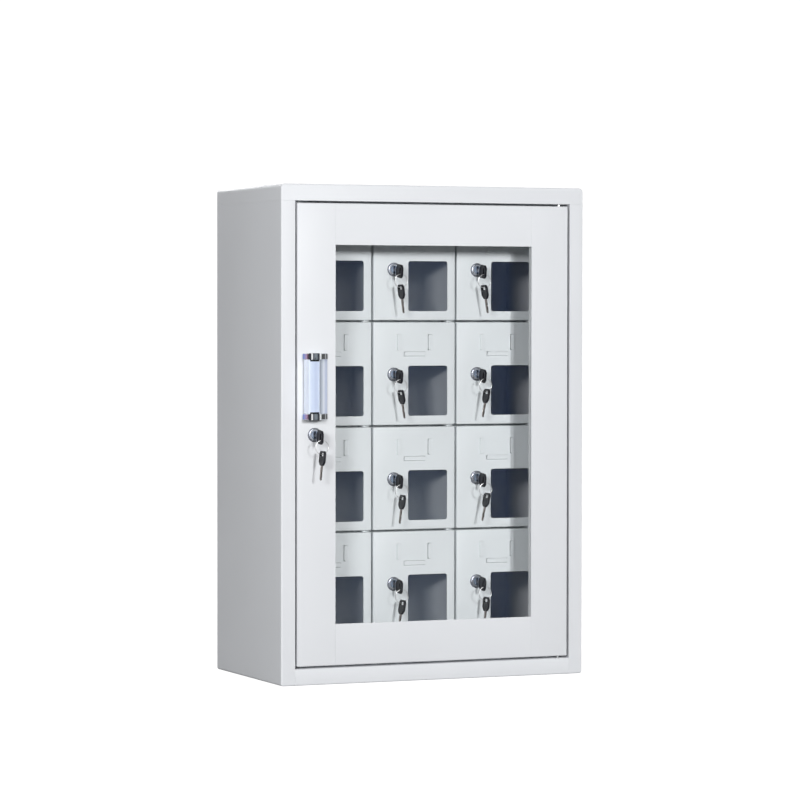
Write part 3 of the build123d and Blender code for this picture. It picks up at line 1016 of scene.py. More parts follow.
@dataclass
class Shop:
    """The finishes and the shared trees that the sub-assemblies are made with."""

    cabinet_paint: Finish
    inner_paint: Finish
    chrome: Finish
    rim_chrome: Finish
    satin_chrome: Finish
    plug_metal: Finish
    zinc: Finish
    nickel: Finish
    wire: Finish
    tinted_chrome: Finish
    banded_chrome: Finish
    key_plastic: Finish
    grip_plastic: Finish
    glass: Finish
    pane: Finish
    rows: Rows
    coil: Coil

    @classmethod
    def open(cls) -> Shop:
        """Makes every finish and tree once."""
        # Painted reflection for the handle caps' left faces, running from blue to pink.
        reflected_tints = ((0.16, 0.26, 0.62), (0.50, 0.24, 0.30))
        keys = Moulding("black_key_plastic", (0.011, 0.011, 0.016), (0.34, 0.5), shine=0.22)
        return cls(
            cabinet_paint=PowderCoat("cabinet_powder_coat", (0.665, 0.68, 0.705)).make(),
            # The same white powder coat as the cabinet's, made a little lighter: painted light that makes up
            # for the light the glass door and the recess take from the parts behind it.
            inner_paint=PowderCoat("inner_powder_coat", (0.71, 0.75, 0.77)).make(),
            chrome=Plating("bright_chrome", (0.80, 0.82, 0.85), (0.04, 0.12)).make(),
            # Painted reflection on the lock heads: a dark plating for the rim and a lighter one for the front
            # faces.
            rim_chrome=Plating("rim_chrome", (0.27, 0.28, 0.32), (0.26, 0.36)).make(),
            satin_chrome=Plating("satin_chrome", (0.44, 0.47, 0.52), (0.36, 0.44)).make(),
            plug_metal=Plating("satin_nickel", (0.25, 0.31, 0.41), (0.34, 0.46)).make(),
            zinc=Plating("zinc_plate", (0.56, 0.57, 0.58), (0.28, 0.42)).make(),
            nickel=Plating("key_nickel", (0.34, 0.30, 0.28), (0.2, 0.34)).make(),
            wire=Plating("ring_wire", (0.66, 0.66, 0.66), (0.32, 0.44)).make(),
            tinted_chrome=ReflectionTintedPlating("tinted_chrome", reflected_tints).make(),
            # Painted reflections and highlights in bands on the handle caps' front faces.
            banded_chrome=ReflectionBandedPlating("banded_chrome", Bands(HANDLE_SPAN, CAP_REFLECTION_BANDS)).make(),
            key_plastic=keys.make(),
            grip_plastic=MilkyPlastic("milky_grip", Bands(HANDLE_SPAN, GRIP_SHADE_BANDS)).make(),
            glass=ClearSheet("door_glass", (0.80, 0.88, 0.88), cover=0.03, mirror=1.0).make(),
            pane=ClearSheet("window_pane", (0.10, 0.18, 0.42), 0.06, 0.2, (0.08, 0.16)).make(),
            rows=Rows(),
            coil=Coil(),
        )


@dataclass(frozen=True)
class Packed:
    """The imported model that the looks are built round: its nodes and its joints."""

    nodes: dict[str, Piece]
    joints: list[dict[str, object]]

    def dress(self, node: str, finish: Finish) -> None:
        """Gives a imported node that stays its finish."""
        materials = self.nodes[node].data.materials
        materials.clear()
        materials.append(finish)
        log.info("%s keeps its packed shape", node)

    def joint_place(self, name: str) -> Vector:
        """Where a joint's axis stands."""
        return Vector(next(joint["pos_m"] for joint in self.joints if joint["name"] == name))


def hand_in(piece: Piece, body: str, slot: str, *nodes: str) -> None:
    """Lets a finished piece ride on its body, and hides the imported nodes that it replaces.

    Args:
        piece: the finished piece.
        body: the body that it moves with.
        slot: not used.
        nodes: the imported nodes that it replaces.
    """
    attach(piece, body)
    if nodes:
        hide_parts(*nodes)
    log.info("%s rides on %s", piece.name, body)


# ---------------------------------------------------------------- cabinet
@dataclass
class Cabinet:
    """The folded steel cabinet: two sides, a bottom, their jambs, a top cap and the back panel."""

    shop: Shop
    packed: Packed
    sheet: float = 0.0012
    fold: float = 0.0016
    cut_edge: float = 0.00022
    stile_width: float = 0.018
    rail_height: float = 0.020
    jamb_depth: float = 0.0177
    strike_lip: float = 0.014
    corner_fold: float = 0.003
    ridge_fold: float = 0.005
    body: str = "cabinet"

    def __post_init__(self) -> None:
        """Reads the cabinet's corners from the frame."""
        self.low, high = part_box("cabinet_body")
        self.high = Vector((high.x, high.y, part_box("top_cap")[1].z))
        self.side_height = high.z
        self.stile_edge = self.high.x - self.stile_width

    def build(self) -> None:
        """Builds every piece of the cabinet."""
        left_side = self.side()
        hand_in(left_side, self.body, "cabinet_paint", "cabinet_body")
        hand_in(twin(left_side, "right_side", Matrix.Scale(-1, 4, (1, 0, 0))), self.body, "cabinet_paint")
        hand_in(self.jamb("left_jamb", -1, True), self.body, "cabinet_paint")
        hand_in(self.jamb("right_jamb", 1, False), self.body, "cabinet_paint")
        hand_in(self.bottom(), self.body, "cabinet_paint")
        hand_in(self.top_cap(), self.body, "cabinet_paint", "top_cap")
        hand_in(self.soffit(), self.body, "cabinet_paint")
        self.packed.dress("back_panel", self.shop.cabinet_paint)

    def side(self) -> Piece:
        """The left side with its front stile, rear return and lower flange."""
        tray = Tray(
            Vector((self.low.x, self.low.y, 0)),
            Vector((-self.stile_edge, self.high.y, self.side_height)),
            (Side.RIGHT, Side.TOP),
            self.sheet,
            self.fold,
            ((Side.LEFT, Side.BOTTOM),),
            self.corner_fold,
        )
        return eased(tray.make("left_side", self.shop.cabinet_paint), self.cut_edge)

    def jamb(self, name: str, hand: int, with_lip: bool) -> Piece:
        """A jamb behind a stile.

        Args:
            name: the piece's name.
            hand: -1 on the left, 1 on the right.
            with_lip: whether it ends in the lip that the door closes against.

        Returns:
            The jamb.
        """
        half = self.sheet / 2
        x = hand * (self.stile_edge + half)
        front = self.low.y + self.sheet
        back = self.low.y + self.jamb_depth - half
        line = [(x, front), (x, back)]
        if with_lip:
            line.append((hand * (self.stile_edge - self.strike_lip), back))
        strip = drawn(folded(line, self.sheet, self.fold), Axis.Z, self.rail_height, self.side_height)
        return eased(piece_of(name, strip, self.shop.cabinet_paint), self.cut_edge)

    def bottom(self) -> Piece:
        """The bottom panel, folded up into the front rail and its sill and the rear rail."""
        half = self.sheet / 2
        line = [
            (self.high.y - half, self.rail_height),
            (self.high.y - half, half),
            (self.low.y + half, half),
            (self.low.y + half, self.rail_height - half),
            (self.low.y + self.jamb_depth, self.rail_height - half),
        ]
        channel = drawn(folded(line, self.sheet, self.fold), Axis.X, -self.stile_edge, self.stile_edge)
        return eased(piece_of("bottom_panel", channel, self.shop.cabinet_paint), self.cut_edge)

    def top_cap(self) -> Piece:
        """The lid whose skirt is the top rail."""
        tray = Tray(
            Vector((self.low.x, self.low.y, self.side_height)),
            self.high.copy(),
            (Side.BOTTOM,),
            self.sheet,
            self.fold,
            ((Side.LEFT, Side.TOP), (Side.RIGHT, Side.TOP)),
            self.ridge_fold,
        )
        return eased(tray.make("top_cap_shell", self.shop.cabinet_paint), self.cut_edge)

    def soffit(self) -> Piece:
        """The plate over the door, inside the top cap's skirt."""
        plate = bar(
            (-self.stile_edge - self.sheet, self.low.y + self.sheet, self.side_height),
            (self.stile_edge + self.sheet, self.low.y + self.jamb_depth, self.side_height + self.sheet),
        )
        return eased(piece_of("door_soffit", plate, self.shop.cabinet_paint), self.cut_edge)


# ---------------------------------------------------------------- compartments
@dataclass
class Compartments:
    """The face frame, the walls and shelves behind the small doors, and the pivot pins."""

    shop: Shop
    packed: Packed
    columns: int = 3
    rows: int = 4
    sheet: float = 0.001
    fold: float = 0.0013
    cut_edge: float = 0.00018
    latch_flange: float = 0.012
    hinge_flange: float = 0.004
    shelf_flange: float = 0.005
    pin_radius: float = 0.002
    pin_inset: float = 0.0092
    pin_depth: float = 0.005
    pin_reach: float = 0.0052
    lug_width: float = 0.0064
    lug_sheet: float = 0.0012
    door_pin_radius: float = 0.0023
    door_pin_length: float = 0.0087
    pin_sides: int = 24
    body: str = "cabinet"

    def __post_init__(self) -> None:
        """Works the grid out from the frame."""
        first_low, first_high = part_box("small_door_41")
        next_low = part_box("small_door_42")[0]
        above_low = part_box("small_door_31")[0]
        gap = next_low.x - first_high.x
        self.pitch_x = next_low.x - first_low.x
        self.pitch_z = above_low.z - first_low.z
        self.corner = Vector((first_low.x - gap / 2, 0, first_low.z - gap / 2))
        frame_low, frame_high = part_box("inner_frame")
        self.face = frame_low.y
        self.flange_front = frame_high.y
        self.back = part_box("compartment_grid")[1].y

    def build(self) -> None:
        """Builds every piece of the compartments."""
        self.packed.dress("inner_frame", self.shop.inner_paint)
        hand_in(self.shelves(), self.body, "inner_paint", "compartment_grid")
        hand_in(self.shelf_flanges(), self.body, "inner_paint")
        hand_in(self.dividers(), self.body, "inner_paint")
        end_reach = self.shelf_flange + self.sheet
        left_end = self.upright("left_end_flange", 0, end_reach, self.latch_flange, False)
        right_end = self.upright("right_end_flange", self.columns, self.hinge_flange, end_reach, False)
        hand_in(left_end, self.body, "inner_paint")
        hand_in(right_end, self.body, "inner_paint")
        hand_in(self.pins(), self.body, "bare_steel", "pivot_pins")
        hand_in(self.door_pins(), self.body, "bare_steel")

    def shelves(self) -> Piece:
        """The shelf plates of every level; the outer columns' plates reach the cabinet's sides."""
        low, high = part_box("compartment_grid")
        z, half = self.corner.z, self.sheet / 2
        flange_back = self.flange_front + self.sheet
        walls = [self.corner.x + index * self.pitch_x for index in range(1, self.columns)]
        starts = [low.x] + [wall + half for wall in walls]
        ends = [wall - half for wall in walls] + [high.x]
        plates = [bar((x0, flange_back, z - half), (x1, self.back, z + half)) for x0, x1 in zip(starts, ends)]
        pattern = eased(piece_of("shelf_pattern", joined(plates), self.shop.inner_paint), self.cut_edge)
        return self.repeated("shelves", pattern, 1, self.rows + 1, self.shop.inner_paint)

    def shelf_flanges(self) -> Piece:
        """The front flange of every shelf, with the lug of a pivot pin."""
        x, z = self.corner.x, self.corner.z
        flange_back = self.flange_front + self.sheet
        pin_x = x + self.pitch_x - self.pin_inset
        lug_outline = rounded(
            [
                (pin_x - self.lug_width / 2, self.flange_front),
                (pin_x - self.lug_width / 2, self.face + self.pin_depth - self.lug_width / 2),
                (pin_x + self.lug_width / 2, self.face + self.pin_depth - self.lug_width / 2),
                (pin_x + self.lug_width / 2, self.flange_front),
            ],
            self.lug_width / 4,
            closed=False,
        )
        parts = [
            bar(
                (x + self.latch_flange, self.flange_front, z - self.shelf_flange),
                (x + self.pitch_x - self.hinge_flange, flange_back, z + self.shelf_flange),
            ),
            drawn(lug_outline, Axis.Z, z - self.lug_sheet / 2, z + self.lug_sheet / 2),
        ]
        pattern = eased(piece_of("flange_pattern", joined(parts), self.shop.inner_paint), self.cut_edge)
        return self.repeated("shelf_flanges", pattern, self.columns, self.rows + 1, self.shop.inner_paint)

    def dividers(self) -> Piece:
        """The upright walls between the columns."""
        pattern = self.upright("divider_pattern", 1, self.hinge_flange, self.latch_flange, True)
        return self.repeated("dividers", pattern, self.columns - 1, 1, self.shop.inner_paint)

    def upright(self, name: str, index: int, flange_left: float, flange_right: float, walled: bool) -> Piece:
        """The flange beside a column's doors, with the wall behind it where there is one.

        Args:
            name: the piece's name.
            index: how many columns stand to its left.
            flange_left: how far the flange reaches to the left.
            flange_right: how far it reaches to the right.
            walled: whether a wall stands behind it.

        Returns:
            The flange, with its wall.
        """
        x = self.corner.x + index * self.pitch_x
        low_z = self.corner.z
        high_z = low_z + self.rows * self.pitch_z
        half = self.sheet / 2
        flange_back = self.flange_front + self.sheet
        parts = [
            bar(
                (x - flange_left, self.flange_front, low_z - self.shelf_flange),
                (x + flange_right, flange_back, high_z + self.shelf_flange),
            ),
        ]
        if walled:
            parts.append(bar((x - half, flange_back, low_z), (x + half, self.back, high_z)))
        return eased(piece_of(name, joined(parts), self.shop.inner_paint), self.cut_edge)

    def repeated(self, name: str, pattern: Piece, columns: int, rows: int, finish: Finish) -> Piece:
        """Copies of a pattern at the compartments' pitch.

        Args:
            name: the new piece's name.
            pattern: the first copy, in its place, which is used up.
            columns: how many stand side by side.
            rows: how many stand one over another.
            finish: their material.

        Returns:
            The copies as one piece.
        """
        copies = self.shop.rows.run(
            name,
            pattern=pattern,
            columns=columns,
            rows=rows,
            column_pitch=self.pitch_x,
            row_pitch=self.pitch_z,
            finish=finish,
        )
        bpy.data.objects.remove(pattern)
        return copies

    def pins(self) -> Piece:
        """The small doors' pivot pins, one through every lug."""
        x = self.corner.x + self.pitch_x - self.pin_inset
        y = self.face + self.pin_depth
        z = self.corner.z
        pattern = self.pin("pin_pattern", self.pin_radius, (x, y), z - self.pin_reach, z + self.pin_reach)
        return self.repeated("small_pivot_pins", pattern, self.columns, self.rows + 1, self.shop.zinc)

    def door_pins(self) -> Piece:
        """The glass door's two pivot pins."""
        low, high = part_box("pivot_pins")
        x, y, _ = self.packed.joint_place("cabinet_door_swing")
        lower = self.pin("door_pin", self.door_pin_radius, (x, y), low.z, low.z + self.door_pin_length)
        lift = Matrix.Translation((0, 0, high.z - low.z - self.door_pin_length))
        return merged([lower, twin(lower, "upper_door_pin", lift)], "door_pivot_pins")

    def pin(self, name: str, radius: float, place: Point, low: float, high: float) -> Piece:
        """An upright pin with chamfered ends.

        Args:
            name: the piece's name.
            radius: the pin's radius.
            place: its X and Y.
            low: its lower end.
            high: its upper end.

        Returns:
            The pin.
        """
        chamfer = radius / 5
        profile = [(0, low), (radius - chamfer, low), (radius, low + chamfer)]
        profile += [(radius, high - chamfer), (radius - chamfer, high), (0, high)]
        shape = turned(profile, self.pin_sides)
        shape.transform(Matrix.Translation((*place, 0)) @ QUARTER_TURN)
        return piece_of(name, shape, self.shop.zinc)


def merged(pieces: list[Piece], name: str) -> Piece:
    """Puts several pieces into one, each keeping its materials.

    Args:
        pieces: the pieces, which are used up.
        name: the new piece's name.

    Returns:
        The new piece, at the origin.
    """
    with bpy.context.temp_override(active_object=pieces[0], selected_editable_objects=pieces):
        bpy.ops.object.join()
    pieces[0].name = name
    pieces[0].data.name = name
    return pieces[0]


# ---------------------------------------------------------------- cam lock and keys
@dataclass
class CamLock:
    """A cam lock, drawn about its own axis on a face at Y = 0."""

    shop: Shop
    barrel: float
    cam_reach: float
    sheet: float
    head_radius: float = 0.0085
    head_height: float = 0.003
    crown: tuple[Point, ...] = ((0.0011, 0.0), (0.0003, 0.0004), (0.0, 0.0012))
    foot_edge: float = 0.0002
    rim_width: float = 0.0019
    rim_slope: float = 0.0004
    rim_step: float = 0.0003
    recess: float = 0.0007
    barrel_radius: float = 0.0064
    thread_pitch: float = 0.0011
    thread_depth: float = 0.0003
    bore_radius: float = 0.0051
    housing_sides: int = 48
    painted_face_tilt: float = 0.9
    plug_radius: float = 0.005
    plug_proud: float = 0.0003
    plug_edge: float = 0.0004
    nut_radius: float = 0.0097
    nut_height: float = 0.003
    nut_edge: float = 0.0005
    drill_reach: float = 0.02
    keyway_width: float = 0.0022
    keyway_height: float = 0.0086
    keyway_depth: float = 0.009
    keyway_clearing: float = 0.001
    cam_play: float = 0.0001
    cam_sheet: float = 0.002
    cam_width: float = 0.012
    cam_edge: float = 0.0003
    screw_radius: float = 0.0045
    screw_height: float = 0.0016

    def housing(self) -> Piece:
        """The bright head, with its threaded barrel behind the face."""
        front, end = -self.head_height, self.barrel - self.cam_play
        rim, root = self.head_radius - self.rim_width, self.barrel_radius - self.thread_depth
        profile = [
            (self.bore_radius, front + self.recess),
            (rim - self.rim_slope, front + self.recess),
            (rim, front + self.rim_step),
            (rim + self.rim_slope, front),
        ]
        profile += [(self.head_radius - inset, front + drop) for inset, drop in self.crown]
        profile += [(self.head_radius, -self.foot_edge), (self.head_radius - self.foot_edge, 0.0)]
        profile.append((self.barrel_radius, 0.0))
        for ridge in range(int((self.barrel - self.sheet) / self.thread_pitch)):
            depth = self.sheet + ridge * self.thread_pitch
            profile.append((self.barrel_radius, depth + self.thread_pitch * 0.25))
            profile.append((root, depth + self.thread_pitch * 0.75))
        profile += [(root, end), (self.bore_radius, end)]
        housing = piece_of("lock_housing", turned(profile, self.housing_sides), self.shop.rim_chrome)
        # Painted reflection: the front-looking faces get a lighter plating and the other faces a darker one,
        # in place of the light and dark surroundings seen in the chrome.
        repaint(housing, self.shop.satin_chrome, Side.FRONT, self.painted_face_tilt)
        return housing

    def nut(self) -> Piece:
        """The hexagon nut behind the sheet."""
        angles = [math.radians(60 * side) for side in range(6)]
        outline = [Vector((self.nut_radius * math.cos(a), self.nut_radius * math.sin(a))) for a in angles]
        shape = drawn(outline, Axis.Y, self.sheet, self.sheet + self.nut_height)
        nut = eased(piece_of("lock_nut", shape, self.shop.zinc), self.nut_edge)
        return cut(nut, rod(self.barrel_radius, 0, self.drill_reach))

    def plug(self) -> Piece:
        """The plug with its keyway."""
        front = -self.head_height + self.recess - self.plug_proud
        edge = self.plug_edge
        profile = [(0, front), (self.plug_radius - edge, front), (self.plug_radius, front + edge)]
        profile += [(self.plug_radius, self.barrel), (0, self.barrel)]
        plug = piece_of("lock_plug", turned(profile), self.shop.plug_metal)
        width, height = self.keyway_width / 2, self.keyway_height / 2
        start = front - self.keyway_clearing
        return cut(plug, bar((-width, start, -height), (width, front + self.keyway_depth, height)))

    def cam(self) -> Piece:
        """The cam arm and the screw that holds it."""
        half = self.cam_width / 2
        arm_corners = [(-half, half), (-half, -self.cam_reach), (half, -self.cam_reach), (half, half)]
        outline = rounded(arm_corners, half / 2)
        back = self.barrel + self.cam_sheet
        arm = drawn(outline, Axis.Y, self.barrel, back)
        screw = rod(self.screw_radius, back, back + self.screw_height, 6)
        return eased(piece_of("lock_cam", joined([arm, screw]), self.shop.zinc), self.cam_edge)


@dataclass
class Key:
    """A key: a moulded black head with a ring slot, and a cut blade.

    It is drawn flat in its own frame: X from where the blade enters the head to the head's far end,
    Y across, Z through its thickness.
    """

    shop: Shop
    head_length: float = 0.0175
    head_width: float = 0.0163
    head_thickness: float = 0.0026
    shoulder_cut: float = 0.0045
    end_cut: float = 0.0032
    slot_length: float = 0.010
    slot_width: float = 0.0036
    slot_inset: float = 0.0043
    panel_depth: float = 0.0004
    pocket_corner: float = 0.35
    panel_length_share: float = 1.15
    panel_width_share: float = 0.66
    head_corner: float = 0.0012
    head_edge: float = 0.00035
    blade_length: float = 0.0178
    blade_width: float = 0.0037
    blade_thickness: float = 0.0016
    blade_edge: float = 0.00012
    cut_share: float = 0.6
    tip_share: float = 0.7
    notches: int = 5
    notch_depth: float = 0.0011
    notch_spread: float = 0.45
    notch_phase: float = 2.1
    notch_floor: Span = (0.25, 0.5)
    notch_end: float = 0.8
    groove: float = 0.0004
    groove_span: Span = (-0.45, 0.05)
    groove_clearing: float = 0.001

    def head(self) -> Piece:
        """The moulded head, with its slot and a sunk panel on each face."""
        half = self.head_width / 2
        shoulder, end = self.shoulder_cut, self.end_cut
        outline = rounded(
            [
                (0.0, -half + shoulder),
                (shoulder, -half),
                (self.head_length - end, -half),
                (self.head_length, -half + end),
                (self.head_length, half - end),
                (self.head_length - end, half),
                (shoulder, half),
                (0.0, half - shoulder),
            ],
            self.head_corner,
            3,
        )
        rise = self.head_thickness / 2
        clear = rise * 2
        head = piece_of("key_head", drawn(outline, Axis.Z, -rise, rise), self.shop.key_plastic)
        slot_x = self.head_length - self.slot_inset
        slot = self.pocket(slot_x, self.slot_width, self.slot_length, -clear, clear)
        panel_x = (slot_x - self.slot_width / 2) / 2
        panel = (panel_x, panel_x * self.panel_length_share, self.head_width * self.panel_width_share)
        floor = rise - self.panel_depth
        cut(head, slot, self.pocket(*panel, floor, clear), self.pocket(*panel, -clear, -floor))
        return eased(head, self.head_edge)

    def pocket(self, x: float, width: float, length: float, low: float, high: float) -> Shape:
        """The tool that cuts a round-cornered pocket across the head.

        Args:
            x: the pocket's middle along the key.
            width: its size along the key.
            length: its size across the key.
            low: its lower end through the thickness.
            high: its upper end.

        Returns:
            The tool's mesh.
        """
        across = width / 2
        along = length / 2
        outline = [(x - across, -along), (x + across, -along), (x + across, along), (x - across, along)]
        return drawn(rounded(outline, across * self.pocket_corner), Axis.Z, low, high)

    def blade(self) -> Piece:
        """The blade with its cuts along one edge and a groove along each face."""
        edge = self.blade_width / 2
        tip = -self.blade_length
        pitch = self.blade_length * self.cut_share / self.notches
        outline = [Vector((0.0, -edge)), Vector((tip + edge, -edge)), Vector((tip, 0.0))]
        outline.append(Vector((tip + pitch * self.tip_share, edge)))
        for notch in range(self.notches):
            start = tip + pitch * (notch + 1)
            swell = self.notch_spread * math.cos(notch * self.notch_phase)
            floor = edge - self.notch_depth * (1 - self.notch_spread + swell)
            outline += [Vector((start + pitch * share, floor)) for share in self.notch_floor]
            outline.append(Vector((start + pitch * self.notch_end, edge)))
        outline.append(Vector((0.0, edge)))
        rise = self.blade_thickness / 2
        blade = piece_of("key_blade", drawn(outline, Axis.Z, -rise, rise), self.shop.nickel)
        groove, clearing = self.groove, self.groove_clearing
        side, other_side = (edge * share for share in self.groove_span)
        tools = [
            bar((tip - groove, side, near), (clearing, other_side, far))
            for near, far in ((rise - groove, rise + groove), (-rise - groove, groove - rise))
        ]
        cut(blade, *tools)
        return eased(blade, self.blade_edge, 1)


@dataclass
class KeySet:
    """The key in a lock, and the ring and spare key that hang from it."""

    shop: Shop
    key: Key
    head_height: float = 0.003
    stand_off: float = 0.0065
    droop: float = 8.0
    ring_radius: float = 0.0083
    ring_wire: float = 0.00031
    ring_turns: float = 2.1
    steepest_ring: float = 44.0
    ring_slack: float = 0.00012
    ring_slide: float = 0.0005
    ring_room_radius: float = 0.0005
    slot_play: float = 0.00075

    def __post_init__(self) -> None:
        """Works out where the key stands and where the ring hangs."""
        droop = math.radians(self.droop)
        swing = math.radians(self.steepest_ring)
        outwards = Vector((0, -math.cos(droop), -math.sin(droop)))
        origin = Vector((0, -self.head_height, 0)) + outwards * self.stand_off
        self.in_lock = stood(origin, outwards, Vector((1, 0, 0)))
        slot = origin + outwards * (self.key.head_length - self.key.slot_inset + self.ring_slide)
        room = self.key.head_thickness / 2 * math.tan(swing)
        room += self.ring_room_radius / math.cos(swing) + self.ring_slack
        drop = self.key.slot_length / 2 - room
        self.hang = slot + Vector((0, math.sin(droop), -math.cos(droop))) * drop

    def ring(self) -> Piece:
        """The split ring, two turns of wire, hanging from the key's slot."""
        height = self.ring_wire * 2 * self.ring_turns
        ring = self.shop.coil.run(
            "key_ring",
            turns=self.ring_turns,
            coil_radius=self.ring_radius,
            wire_radius=self.ring_wire,
            coil_height=height,
            finish=self.shop.wire,
        )
        centre = Matrix.Translation(self.hang - Vector((0, 0, self.ring_radius)))
        ring.data.transform(centre @ QUARTER_TURN @ Matrix.Translation((0, 0, -height / 2)))
        return ring

    def swung(self, lean: float) -> Matrix:
        """The turn of a ring about the slot that it hangs in.

        Args:
            lean: how far its foot swings to the right, in degrees.

        Returns:
            The matrix that takes the upright ring to that place.
        """
        turn = Matrix.Rotation(-math.radians(lean), 4, "Y")
        return Matrix.Translation(self.hang) @ turn @ Matrix.Translation(-self.hang)

    def spare_place(self, ring_lean: float, lean: float) -> Matrix:
        """Where the hanging key stands.

        Args:
            ring_lean: how far the ring's foot swings to the right, in degrees.
            lean: how far the key's blade leans to the right, in degrees.

        Returns:
            The matrix that takes a key from its own frame to that place.
        """
        up = Vector((-math.sin(math.radians(lean)), 0, math.cos(math.radians(lean))))
        face = Vector((up.z, 0, -up.x))
        foot = self.swung(ring_lean) @ (self.hang - Vector((0, 0, 2 * self.ring_radius)))
        reach = self.key.head_length - self.key.slot_inset
        reach += self.key.slot_width / 2 - self.ring_room_radius - self.slot_play
        return stood(foot - up * reach, up, face)


def stood(origin: Vector, along: Vector, face: Vector) -> Matrix:
    """The matrix that stands a flat piece in space.

    Args:
        origin: where its own origin goes.
        along: where its X axis points.
        face: where its Z axis points.

    Returns:
        The matrix.
    """
    turn = Matrix((along, face.cross(along), face)).transposed()
    return Matrix.Translation(origin) @ turn.to_4x4()


@dataclass(frozen=True)
class Riders:
    """The bodies that a lock's pieces ride on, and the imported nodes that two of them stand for."""

    door: str
    core: str
    spare: str
    core_node: str
    spare_node: str


class LockSet:
    """A cam lock with its key, ring and spare key, made once and stood wherever it is needed."""

    def __init__(self, shop: Shop, lock: CamLock) -> None:
        """Makes the pieces.

        Args:
            shop: the finishes and trees.
            lock: the lock.
        """
        key = Key(shop)
        self.keys = KeySet(shop, key)
        self.patterns = {
            "lock_housing": lock.housing(),
            "lock_nut": lock.nut(),
            "lock_plug": lock.plug(),
            "lock_cam": lock.cam(),
            "key_head": key.head(),
            "key_blade": key.blade(),
            "key_ring": self.keys.ring(),
        }

    def stand(self, label: str, place: Matrix, riders: Riders, ring_lean: float, spare_lean: float) -> None:
        """Stands a copy of every piece.

        Args:
            label: what the copies' names end in.
            place: the lock's place.
            riders: the bodies that they ride on.
            ring_lean: how far the ring's foot swings to the right, in degrees.
            spare_lean: how far the spare key's blade leans to the right, in degrees.
        """
        in_lock = place @ self.keys.in_lock
        at_ring = place @ self.keys.swung(ring_lean)
        at_spare = place @ self.keys.spare_place(ring_lean, spare_lean)
        for name, pattern, at, body, slot, *nodes in (
            ("lock_housing", "lock_housing", place, riders.door, "chrome"),
            ("lock_nut", "lock_nut", place, riders.door, "bare_steel"),
            ("lock_plug", "lock_plug", place, riders.core, "lock_metal", riders.core_node),
            ("lock_cam", "lock_cam", place, riders.core, "bare_steel"),
            ("key_head", "key_head", in_lock, riders.core, "key_plastic"),
            ("key_blade", "key_blade", in_lock, riders.core, "lock_metal"),
            ("key_ring", "key_ring", at_ring, riders.spare, "chrome", riders.spare_node),
            ("spare_head", "key_head", at_spare, riders.spare, "key_plastic"),
            ("spare_blade", "key_blade", at_spare, riders.spare, "lock_metal"),
        ):
            hand_in(twin(self.patterns[pattern], f"{name}_{label}", at), body, slot, *nodes)

    def clear(self) -> None:
        """Removes the patterns once every copy stands."""
        for pattern in self.patterns.values():
            bpy.data.objects.remove(pattern)


